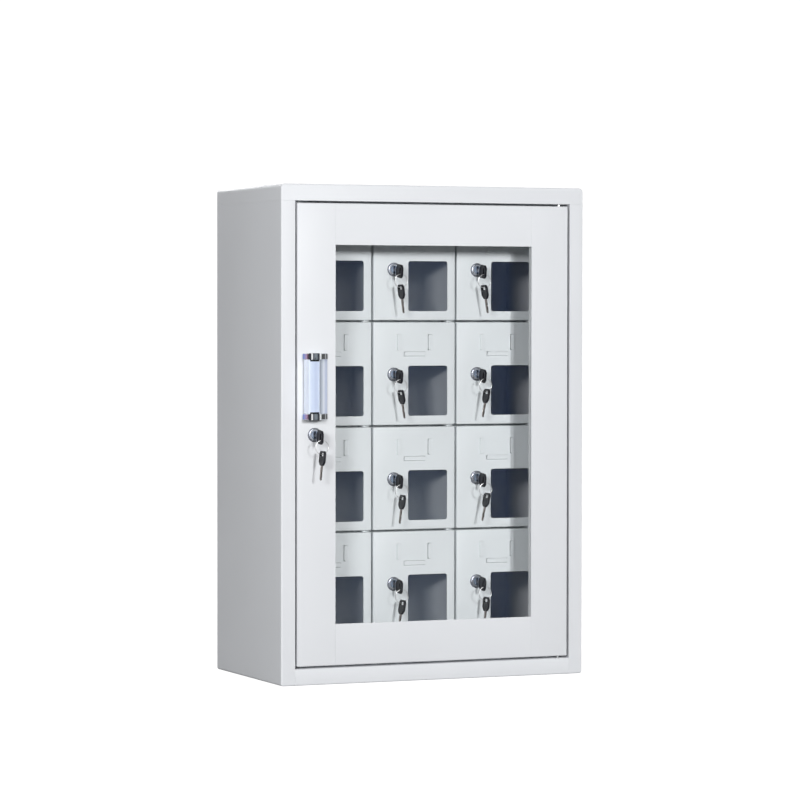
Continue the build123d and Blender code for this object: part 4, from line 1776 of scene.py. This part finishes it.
# ---------------------------------------------------------------- small doors
@dataclass
class SmallDoor:
    """One small door, drawn from its lower left corner with its face at Y = 0."""

    shop: Shop
    width: float
    height: float
    depth: float = 0.010
    sheet: float = 0.001
    fold: float = 0.0013
    cut_edge: float = 0.00015
    pivot_inset: float = 0.008
    pivot_radius: float = 0.00208
    lock_inset: float = 0.027
    lock_drop: float = 0.0640
    lock_hole: float = 0.00665
    drill_reach: float = 0.004
    window_left: float = 0.0465
    window_right: float = 0.0105
    window_top: float = 0.0534
    window_bottom: float = 0.0112
    window_corner: float = 0.0030
    pane_sheet: float = 0.002
    pane_overlap: float = 0.005
    pane_edge: float = 0.0002
    tab_height: float = 0.0014
    tab_sheet: float = 0.0006
    tab_bend: float = 0.0010
    tab_round: float = 0.0016
    tab_seam: float = 0.0004
    tab_gap: float = 0.0002
    tab_rows: int = 18
    side_tab: Span = (0.0057, 0.0190)
    side_tab_spacing: float = 0.0422
    side_tab_drop: float = 0.0152
    lower_tab: Span = (0.028, 0.0059)
    lower_tab_drop: float = 0.0363

    def window(self, grow: float, corner: float) -> list[Vector]:
        """The window's outline, grown on every side, with rounded corners."""
        x0, x1 = self.window_left - grow, self.width - self.window_right + grow
        z0, z1 = self.window_bottom - grow, self.height - self.window_top + grow
        return rounded([(x0, z0), (x1, z0), (x1, z1), (x0, z1)], corner)

    def panel(self) -> Piece:
        """The folded panel with its window, lock hole, pivot holes and card tabs."""
        tray = Tray(
            Vector((0, 0, 0)),
            Vector((self.width, self.depth, self.height)),
            (Side.BACK,),
            self.sheet,
            self.fold,
        )
        panel = tray.make("small_door_panel", self.shop.inner_paint)
        reach = self.drill_reach
        window = drawn(self.window(0, self.window_corner), Axis.Y, -reach, reach)
        hole = rod(self.lock_hole, -reach, reach)
        hole.transform(Matrix.Translation((self.lock_inset, 0, self.height - self.lock_drop)))
        pivot = rod(self.pivot_radius, -reach, self.height, 24)
        pivot.transform(Matrix.Translation((self.width - self.pivot_inset, self.depth / 2, 0)) @ QUARTER_TURN)
        cut(panel, window, hole, pivot, *[self.tab_slot(*tab) for tab in self.tabs()])
        eased(panel, self.cut_edge, steps=1, angle=60.0)
        return merged([panel, *[self.tab(*tab) for tab in self.tabs()]], "small_door_panel")

    def tabs(self) -> list[tuple[float, float, Span, Edge]]:
        """The middle, the size and the root of each of the three tabs that hold a name card."""
        middle = self.width / 2
        reach = self.side_tab_spacing / 2
        side_z = self.height - self.side_tab_drop - self.side_tab[1] / 2
        lower_z = self.height - self.lower_tab_drop - self.lower_tab[1] / 2
        return [
            (middle - reach, side_z, self.side_tab, Edge.LEFT),
            (middle + reach, side_z, self.side_tab, Edge.RIGHT),
            (middle, lower_z, self.lower_tab, Edge.LOWER),
        ]

    def tab(self, x: float, z: float, size: Span, root: Edge) -> Piece:
        """A tab lanced out of the face: a thin tongue that bends up from its root to a free edge.

        Args:
            x: its middle.
            z: its middle.
            size: its width and height.
            root: the edge along which it joins the face.

        Returns:
            The tab.
        """
        span, length = self.tab_span(size, root)
        rise = self.tab_sheet / 2
        tab = bmesh.new()
        edges = []
        for row in range(self.tab_rows + 1):
            along = span * row / self.tab_rows
            half = length / 2 - self.tab_corner(along, span)
            middle = self.tab_rise(along)
            low, high = middle - rise, middle + rise
            section = ((-half, low), (half, low), (half, high), (-half, high))
            edges.append([tab.verts.new((along, across, height)) for across, height in section])
        for first, second in zip(edges, edges[1:]):
            for index in range(len(first)):
                follows = (index + 1) % len(first)
                tab.faces.new((first[index], first[follows], second[follows], second[index]))
        tab.faces.new(edges[0])
        tab.faces.new(edges[-1])
        tab.transform(self.tab_place(x, z, size, root))
        bmesh.ops.recalc_face_normals(tab, faces=tab.faces)
        return piece_of("card_tab", tab, self.shop.inner_paint)

    @staticmethod
    def tab_span(size: Span, root: Edge) -> Span:
        """A tab's size from its root to its free edge, and its size along the root."""
        return size[::-1] if root is Edge.LOWER else size

    def tab_rise(self, along: float) -> float:
        """How far the middle of a tab's sheet stands out of the face, at a distance from its root."""
        climb = min(along / self.tab_bend, 1.0)
        low = -self.sheet / 2
        high = self.tab_height - self.tab_sheet / 2
        return low + (high - low) * climb * climb * (3 - 2 * climb)

    def tab_corner(self, along: float, span: float) -> float:
        """How far a tab's end is drawn in by the rounding of its free corners."""
        past = along - (span - self.tab_round)
        if past <= 0:
            return 0.0
        return self.tab_round - math.sqrt(max(self.tab_round**2 - past**2, 0.0))

    def tab_slot(self, x: float, z: float, size: Span, root: Edge) -> Shape:
        """The tool that cuts the gap that a tab was pressed out of.

        Args:
            x: the tab's middle.
            z: the tab's middle.
            size: the tab's width and height.
            root: the edge along which it joins the face.

        Returns:
            The tool's mesh.
        """
        span, length = self.tab_span(size, root)
        start, end, half = self.tab_seam, span + self.tab_gap, length / 2 + self.tab_gap
        corner = self.tab_gap * 1.5
        outline = rounded([(start, -half), (end, -half), (end, half), (start, half)], corner, 3)
        slot = drawn(outline, Axis.Z, -2 * self.sheet, self.sheet)
        slot.transform(self.tab_place(x, z, size, root))
        return slot

    @staticmethod
    def tab_place(x: float, z: float, size: Span, root: Edge) -> Matrix:
        """The matrix that puts a tab, drawn from its root, on the face."""
        outwards = Vector((0, -1, 0))
        if root is Edge.LEFT:
            return stood(Vector((x - size[0] / 2, 0, z)), Vector((1, 0, 0)), outwards)
        if root is Edge.RIGHT:
            return stood(Vector((x + size[0] / 2, 0, z)), Vector((-1, 0, 0)), outwards)
        return stood(Vector((x, 0, z - size[1] / 2)), Vector((0, 0, 1)), outwards)

    def pane(self) -> Piece:
        """The clear pane behind the window."""
        outline = self.window(self.pane_overlap, self.window_corner * 2)
        shape = drawn(outline, Axis.Y, self.sheet, self.sheet + self.pane_sheet)
        return eased(piece_of("window_pane", shape, self.shop.pane), self.pane_edge, 1)


@dataclass
class SmallDoors:
    """The twelve small doors with their locks and keys, each on its own bodies."""

    shop: Shop
    rows: int = 4
    columns: int = 3
    lock_barrel: float = 0.0172
    cam_reach: float = 0.024
    ring_lean: tuple[tuple[float, ...], ...] = (
        (-1.0, -1.0, -1.0),
        (8.0, 0.0, 12.0),
        (-1.0, 8.0, 14.0),
        (8.0, 9.0, 12.0),
    )
    spare_lean: tuple[tuple[float, ...], ...] = (
        (6.0, 7.0, 9.0),
        (-5.0, 9.0, -10.0),
        (8.0, -7.0, -12.0),
        (-4.0, -10.0, -5.0),
    )

    def build(self) -> None:
        """Makes one set of patterns and stands a copy in every compartment."""
        low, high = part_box("small_door_11")
        door = SmallDoor(self.shop, high.x - low.x, high.z - low.z)
        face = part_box("inner_frame")[0].y
        locks = LockSet(self.shop, CamLock(self.shop, self.lock_barrel, self.cam_reach, door.sheet))
        panel, pane = door.panel(), door.pane()
        for row in range(self.rows):
            for column in range(self.columns):
                number = f"{row + 1}{column + 1}"
                body = f"compartment_door_{number}"
                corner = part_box(f"small_door_{number}")[0]
                at_door = Matrix.Translation((corner.x, face, corner.z))
                lock_place = (corner.x + door.lock_inset, face, corner.z + door.height - door.lock_drop)
                small_panel = twin(panel, f"small_door_panel_{number}", at_door)
                hand_in(small_panel, body, "inner_paint", f"small_door_{number}")
                small_pane = twin(pane, f"window_pane_{number}", at_door)
                hand_in(small_pane, body, "clear_window", f"window_{number}")
                riders = Riders(
                    door=body,
                    core=f"lock_{number}",
                    spare=f"spare_{number}",
                    core_node=f"lock_core_{number}",
                    spare_node=f"spare_key_{number}",
                )
                leans = self.ring_lean[row][column], self.spare_lean[row][column]
                locks.stand(number, Matrix.Translation(lock_place), riders, *leans)
        locks.clear()
        for pattern in (panel, pane):
            bpy.data.objects.remove(pattern)


# ---------------------------------------------------------------- glass door
@dataclass
class GlassDoor:
    """The glazed door: a frame of two stiles and two rails, the glass and its beads, and the lock."""

    shop: Shop
    packed: Packed
    sheet: float = 0.0012
    fold: float = 0.0015
    cut_edge: float = 0.0002
    depth: float = 0.016
    stile_width: float = 0.0495
    rail_height: float = 0.050
    back_lip: float = 0.008
    glass_edge: float = 0.0004
    bead_width: float = 0.008
    bead_depth: float = 0.006
    bead_edge: float = 0.0014
    bead_corner: float = 0.0003
    lock_hole: float = 0.00665
    drill_reach: float = 0.004
    lock_barrel: float = 0.0189
    cam_reach: float = 0.016
    ring_lean: float = 6.0
    spare_lean: float = -5.0
    body: str = "glass_door"

    def __post_init__(self) -> None:
        """Reads the door's outline from the frame."""
        low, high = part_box("cabinet_door")
        self.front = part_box("cabinet_body")[0].y
        self.low = Vector((low.x, self.front, low.z))
        self.high = Vector((high.x, self.front + self.depth, high.z))
        self.lock_place = self.packed.joint_place("door_lock_turn")

    def build(self) -> None:
        """Builds every piece of the glass door."""
        left_stile, right_stile = self.stile(Side.LEFT), self.stile(Side.RIGHT)
        hand_in(left_stile, self.body, "cabinet_paint", "cabinet_door")
        hand_in(right_stile, self.body, "cabinet_paint")
        for name, outer, inwards in (("lower_rail", self.low.z, 1), ("upper_rail", self.high.z, -1)):
            hand_in(self.rail(name, outer, inwards), self.body, "cabinet_paint")
        hand_in(self.glass(), self.body, "clear_glass", "door_glass")
        hand_in(self.beads(), self.body, "cabinet_paint")
        self.lock()

    def stile(self, side: Side) -> Piece:
        """A full-height folded stile, with its lip at the back and, on the left, the lock's hole."""
        left = side is Side.LEFT
        x0 = self.low.x if left else self.high.x - self.stile_width
        x1 = self.low.x + self.stile_width if left else self.high.x
        low = Vector((x0, self.low.y, self.low.z))
        high = Vector((x1, self.high.y, self.high.z))
        window_side = Side.RIGHT if left else Side.LEFT
        name = "left_stile" if left else "right_stile"
        tray = Tray(low, high, (window_side, Side.BACK), self.sheet, self.fold)
        stile = tray.make(name, self.shop.cabinet_paint)
        if left:
            hole = rod(self.lock_hole, -self.drill_reach, self.drill_reach)
            hole.transform(Matrix.Translation(self.lock_place))
            cut(stile, hole)
        eased(stile, self.cut_edge)
        outer = x0 + self.sheet if left else x1 - self.sheet
        lip_end = x0 + self.back_lip if left else x1 - self.back_lip
        lip = bar(
            (min(outer, lip_end), self.high.y - self.sheet, self.low.z + self.sheet),
            (max(outer, lip_end), self.high.y, self.high.z - self.sheet),
        )
        strip = eased(piece_of("stile_lip", lip, self.shop.cabinet_paint), self.cut_edge)
        return merged([stile, strip], name)

    def rail(self, name: str, outer: float, inwards: int) -> Piece:
        """A rail butted between the stiles.

        Args:
            name: the piece's name.
            outer: the height of its outer edge.
            inwards: 1 if the window lies above it, -1 if below.

        Returns:
            The rail.
        """
        half = self.sheet / 2
        line = [
            (self.low.y + half, outer + inwards * self.rail_height),
            (self.low.y + half, outer + inwards * half),
            (self.high.y - half, outer + inwards * half),
            (self.high.y - half, outer + inwards * self.back_lip),
        ]
        reach = (self.high.x - self.low.x) / 2 - self.stile_width
        middle = (self.high.x + self.low.x) / 2
        channel = drawn(folded(line, self.sheet, self.fold), Axis.X, middle - reach, middle + reach)
        return eased(piece_of(name, channel, self.shop.cabinet_paint), self.cut_edge)

    def glass(self) -> Piece:
        """The glass pane with ground edges."""
        low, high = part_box("door_glass")
        return eased(piece_of("door_glass_pane", bar(low, high), self.shop.glass), self.glass_edge, 1)

    def beads(self) -> Piece:
        """The glazing beads that hold the glass from behind, mitred into one frame."""
        low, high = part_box("door_glass")
        outer = [(low.x, low.z), (high.x, low.z), (high.x, high.z), (low.x, high.z)]
        back = high.y + self.bead_depth
        levels = (
            (0.0, high.y),
            (0.0, back - self.bead_edge),
            (self.bead_edge, back),
            (self.bead_width - self.bead_edge, back),
            (self.bead_width, back - self.bead_edge),
            (self.bead_width, high.y),
        )
        frame = bmesh.new()
        loops = []
        for inset, depth in levels:
            loop = []
            for index, (x, z) in enumerate(outer):
                x += inset if index in (0, 3) else -inset
                z += inset if index in (0, 1) else -inset
                loop.append(frame.verts.new((x, depth, z)))
            loops.append(loop)
        for index, loop in enumerate(loops):
            other = loops[(index + 1) % len(loops)]
            for corner in range(len(outer)):
                follows = (corner + 1) % len(outer)
                frame.faces.new((loop[corner], loop[follows], other[follows], other[corner]))
        bmesh.ops.recalc_face_normals(frame, faces=frame.faces)
        return eased(piece_of("glazing_beads", frame, self.shop.cabinet_paint), self.bead_corner, 1)

    def lock(self) -> None:
        """The door's own lock with its key, ring and spare key."""
        lock = LockSet(self.shop, CamLock(self.shop, self.lock_barrel, self.cam_reach, self.sheet))
        riders = Riders(self.body, "door_lock", "door_spare", "door_lock_core", "door_spare_key")
        lock.stand("door", Matrix.Translation(self.lock_place), riders, self.ring_lean, self.spare_lean)
        lock.clear()


@dataclass
class PullHandle:
    """The pull handle: two chrome caps and a hooked translucent grip between them."""

    shop: Shop
    face_width: float = 0.0152
    cap_height: float = 0.008
    cap_side: float = 0.002
    cap_bevel: float = 0.0009
    reflection_tint_tilt: float = 0.95
    reflection_band_tilt: float = 0.6
    tongue_height: float = 0.0018
    tongue_edge: float = 0.0002
    grip_inset: float = 0.0008
    grip_wall: float = 0.0024
    grip_corner: float = 0.003
    grip_edge: float = 0.00025
    front_depth: float = 0.01
    flute_depth: float = 0.00022
    flutes: int = 7
    steps_per_flute: int = 4
    body: str = "glass_door"

    def __post_init__(self) -> None:
        """Reads the handle's box from the frame."""
        self.low, self.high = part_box("handle_caps")

    def build(self) -> None:
        """Builds the caps and the grip."""
        lower = self.cap(self.low.z, self.low.z + self.cap_height)
        upper = self.cap(self.high.z - self.cap_height, self.high.z - self.cap_height - self.tongue_height)
        hand_in(merged([lower, upper], "handle_end_caps"), self.body, "chrome", "handle_caps")
        hand_in(self.grip(), self.body, "handle_plastic", "handle_grip")

    def cap(self, low: float, tongue: float) -> Piece:
        """A chrome end cap with bevelled edges, and the tongue that laps over the grip."""
        outline = [
            Vector((self.low.x, self.high.y)),
            Vector((self.low.x, self.low.y)),
            Vector((self.low.x + self.face_width, self.low.y)),
            Vector((self.high.x, self.high.y - self.cap_side)),
            Vector((self.high.x, self.high.y)),
        ]
        block = drawn(outline, Axis.Z, low, low + self.cap_height)
        cap = eased(piece_of("handle_cap", block, self.shop.chrome), self.cap_bevel, steps=1, angle=20.0)
        # Painted reflections: the left-looking faces get the blue and pink one, and the front-looking faces
        # the bands of dark reflection and highlight.
        repaint(cap, self.shop.tinted_chrome, Side.LEFT, self.reflection_tint_tilt)
        repaint(cap, self.shop.banded_chrome, Side.FRONT, self.reflection_band_tilt)
        inset = 2 * self.cap_bevel
        strip = bar(
            (self.low.x + inset, self.low.y, tongue),
            (self.low.x + self.face_width - inset, self.low.y + self.grip_inset, tongue + self.tongue_height),
        )
        lap = eased(piece_of("cap_tongue", strip, self.shop.chrome), self.tongue_edge, 1)
        return merged([cap, lap], "handle_cap")

    def grip(self) -> Piece:
        """The hooked grip: a base on the door, a fluted side wall and a fluted front lip."""
        x0 = self.low.x + self.grip_inset
        x1 = self.low.x + self.face_width
        x2 = self.high.x - self.grip_inset
        y0, y1 = self.low.y + self.grip_inset, self.high.y
        wall = self.grip_wall
        hook = [(x2, y1), (x0, y1), (x0, y0), (x1, y0), (x1, y0 + wall)]
        outer = rounded(hook, self.grip_corner, 6, closed=False)[:-1]
        inner = [(x1, y0 + wall), (x0 + wall, y0 + wall), (x0 + wall, y1 - wall), (x2, y1 - wall)]
        section = self.fluted(outer) + [Vector(corner) for corner in inner]
        low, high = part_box("handle_grip")
        grip = piece_of("handle_grip_bar", drawn(section, Axis.Z, low.z, high.z), self.shop.grip_plastic)
        return eased(grip, self.grip_edge, steps=1, angle=50.0)

    def fluted(self, outline: list[Vector]) -> list[Vector]:
        """Adds shallow flutes along the straight front stretch of the grip's outline."""
        start, end = max(zip(outline, outline[1:]), key=lambda pair: self.front_length(*pair))
        place = outline.index(start) + 1
        steps = self.flutes * self.steps_per_flute
        flutes = []
        for index in range(1, steps):
            share = index / steps
            dip = self.flute_depth * math.sin(math.pi * share * self.flutes) ** 2
            flutes.append(start.lerp(end, share) + Vector((0, dip)))
        return outline[:place] + flutes + outline[place:]

    def front_length(self, start: Vector, end: Vector) -> float:
        """How long a stretch is, if it lies on the front of the grip."""
        is_front = start.y < self.high.y - self.front_depth
        return (end - start).length if is_front and math.isclose(start.y, end.y, abs_tol=1e-6) else 0.0


# ---------------------------------------------------------------- stage, light and camera
@dataclass(frozen=True)
class Lamp:
    """A soft rectangular lamp that is aimed at the cabinet.

    Its azimuth is in degrees to the right of straight in front, its elevation in degrees above level,
    and its power in watts. Its size is its width and height.
    """

    name: str
    azimuth: float
    elevation: float
    distance: float
    size: Span
    power: float

    def light(self, aim: Corner) -> None:
        """Stands the lamp and aims it at a point."""
        data = bpy.data.lights.new(self.name, "AREA")
        data.shape = "RECTANGLE"
        data.size, data.size_y = self.size
        data.energy = self.power
        lamp = bpy.data.objects.new(self.name, data)
        bpy.context.scene.collection.objects.link(lamp)
        turn, rise = math.radians(self.azimuth), math.radians(self.elevation)
        level = math.cos(rise)
        outwards = Vector((math.sin(turn) * level, -math.cos(turn) * level, math.sin(rise)))
        lamp.location = Vector(aim) + outwards * self.distance
        lamp.rotation_euler = outwards.to_track_quat("Z", "Y").to_euler()


@dataclass
class Studio:
    """A pale sweep, soft lamps and the camera at the photograph's viewing angle."""

    camera_place: tuple[float, float, float] = (-1.7048, -3.9446, 0.44645)
    camera_yaw: float = 23.394
    camera_pitch: float = -1.448
    camera_roll: float = 0.063
    camera_reach: float = 50.0
    focal_length: float = 155.6
    sensor: float = 36.0
    aim: tuple[float, float, float] = (0.0, -0.05, 0.3)
    lamps: tuple[Lamp, ...] = (
        Lamp("front_strip", 1.0, 11.0, 5.0, (0.16, 0.56), 106.0),
        Lamp("front_side_strip", -3.2, 11.0, 5.0, (0.16, 0.56), 52.0),
        Lamp("left_softbox", -38.5, 11.5, 5.0, (1.0, 0.6), 102.0),
        Lamp("side_fill", -86.0, 4.0, 2.8, (1.8, 1.2), 23.0),
        Lamp("right_fill", 78.0, 10.0, 2.8, (1.5, 1.2), 22.0),
        Lamp("top_softbox", 180.0, 80.0, 2.6, (1.4, 1.4), 20.0),
        Lamp("back_fill", 180.0, 30.0, 3.0, (1.8, 1.8), 40.0),
    )
    sweep_grey: float = 0.16
    sweep_roughness: float = 0.9
    sweep_half_width: float = 9.0
    sweep_front: float = -7.0
    sweep_back: float = 4.0
    sweep_bend: float = 1.5
    sweep_height: float = 7.0
    bend_steps: int = 12
    glow_in_view: float = 1.0
    glow_on_object: float = 0.03
    sky: tuple[tuple[float, Colour], ...] = ((0.02, (0.13, 0.135, 0.145)), (0.55, (0.62, 0.63, 0.65)))
    sky_strength: float = 0.09

    def build(self) -> None:
        """Sets up the stage, the lamps, the world and the camera."""
        self.sweep()
        self.world()
        for lamp in self.lamps:
            lamp.light(self.aim)
        self.camera()

    def sweep(self) -> None:
        """The pale floor, which curves up into the backdrop."""
        graph = Graph("pale_sweep")
        grey = (self.sweep_grey, self.sweep_grey, self.sweep_grey, 1.0)
        graph.set(base_color=grey, roughness=self.sweep_roughness, emission_color=(1.0, 1.0, 1.0, 1.0))
        ray = graph.tree.nodes.new("ShaderNodeLightPath")
        glow = graph.mapped(ray.outputs["Is Camera Ray"], target=(self.glow_on_object, self.glow_in_view))
        graph.join(glow, graph.shader.inputs["Emission Strength"])
        bend, start = self.sweep_bend, self.sweep_back - self.sweep_bend
        line = [(self.sweep_front, 0.0), (start, 0.0)]
        for step in range(1, self.bend_steps + 1):
            angle = math.radians(90 * step / self.bend_steps)
            line.append((start + bend * math.sin(angle), bend - bend * math.cos(angle)))
        line.append((self.sweep_back, self.sweep_height))
        sweep = bmesh.new()
        left = [sweep.verts.new((-self.sweep_half_width, y, z)) for y, z in line]
        right = [sweep.verts.new((self.sweep_half_width, y, z)) for y, z in line]
        for index in range(len(line) - 1):
            sweep.faces.new((left[index], right[index], right[index + 1], left[index + 1]))
        piece_of("floor_sweep", sweep, graph.material)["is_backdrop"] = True

    def world(self) -> None:
        """A soft dim sky that lights the object, and behind the stage a plain pale backdrop."""
        world = bpy.data.worlds.new("studio")
        world.use_nodes = True
        tree = world.node_tree
        background = tree.nodes["Background"]
        place = tree.nodes.new("ShaderNodeTexCoord")
        split = tree.nodes.new("ShaderNodeSeparateXYZ")
        ramp = tree.nodes.new("ShaderNodeValToRGB")
        tree.links.new(place.outputs["Generated"], split.inputs["Vector"])
        tree.links.new(split.outputs["Z"], ramp.inputs["Fac"])
        tree.links.new(ramp.outputs["Color"], background.inputs["Color"])
        for element, (position, colour) in zip(ramp.color_ramp.elements, self.sky):
            element.position = position
            element.color = (*colour, 1.0)
        background.inputs["Strength"].default_value = self.sky_strength
        backdrop = tree.nodes.new("ShaderNodeBackground")
        ray = tree.nodes.new("ShaderNodeLightPath")
        choice = tree.nodes.new("ShaderNodeMixShader")
        tree.links.new(ray.outputs["Is Camera Ray"], choice.inputs[0])
        tree.links.new(background.outputs["Background"], choice.inputs[1])
        tree.links.new(backdrop.outputs["Background"], choice.inputs[2])
        tree.links.new(choice.outputs["Shader"], tree.nodes["World Output"].inputs["Surface"])
        backdrop.inputs["Color"].default_value = (1.0, 1.0, 1.0, 1.0)
        bpy.context.scene.world = world
        bpy.context.scene.view_settings.view_transform = "Standard"

    def camera(self) -> None:
        """The camera, where the photograph was taken from."""
        data = bpy.data.cameras.new("camera")
        data.sensor_width = self.sensor
        data.lens = self.focal_length
        data.clip_end = self.camera_reach
        camera = bpy.data.objects.new("camera", data)
        bpy.context.scene.collection.objects.link(camera)
        yaw = Matrix.Rotation(-math.radians(self.camera_yaw), 4, "Z")
        pitch = Matrix.Rotation(math.radians(90 + self.camera_pitch), 4, "X")
        roll = Matrix.Rotation(math.radians(self.camera_roll), 4, "Z")
        camera.matrix_world = Matrix.Translation(self.camera_place) @ yaw @ pitch @ roll
        bpy.context.scene.camera = camera


def corners() -> list[list[float]]:
    """The lowest and highest corner of everything that is shown, as plain lists."""
    low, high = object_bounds()
    return [list(low), list(high)]


def main() -> None:
    """Builds the locker box round its frame."""
    logging.basicConfig(level=logging.INFO, format="%(message)s")
    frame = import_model()
    packed = Packed(frame["nodes"], frame["joints"])
    shop = Shop.open()
    Cabinet(shop, packed).build()
    Compartments(shop, packed).build()
    SmallDoors(shop).build()
    GlassDoor(shop, packed).build()
    PullHandle(shop).build()
    Studio().build()


if __name__ == "__main__":
    main()
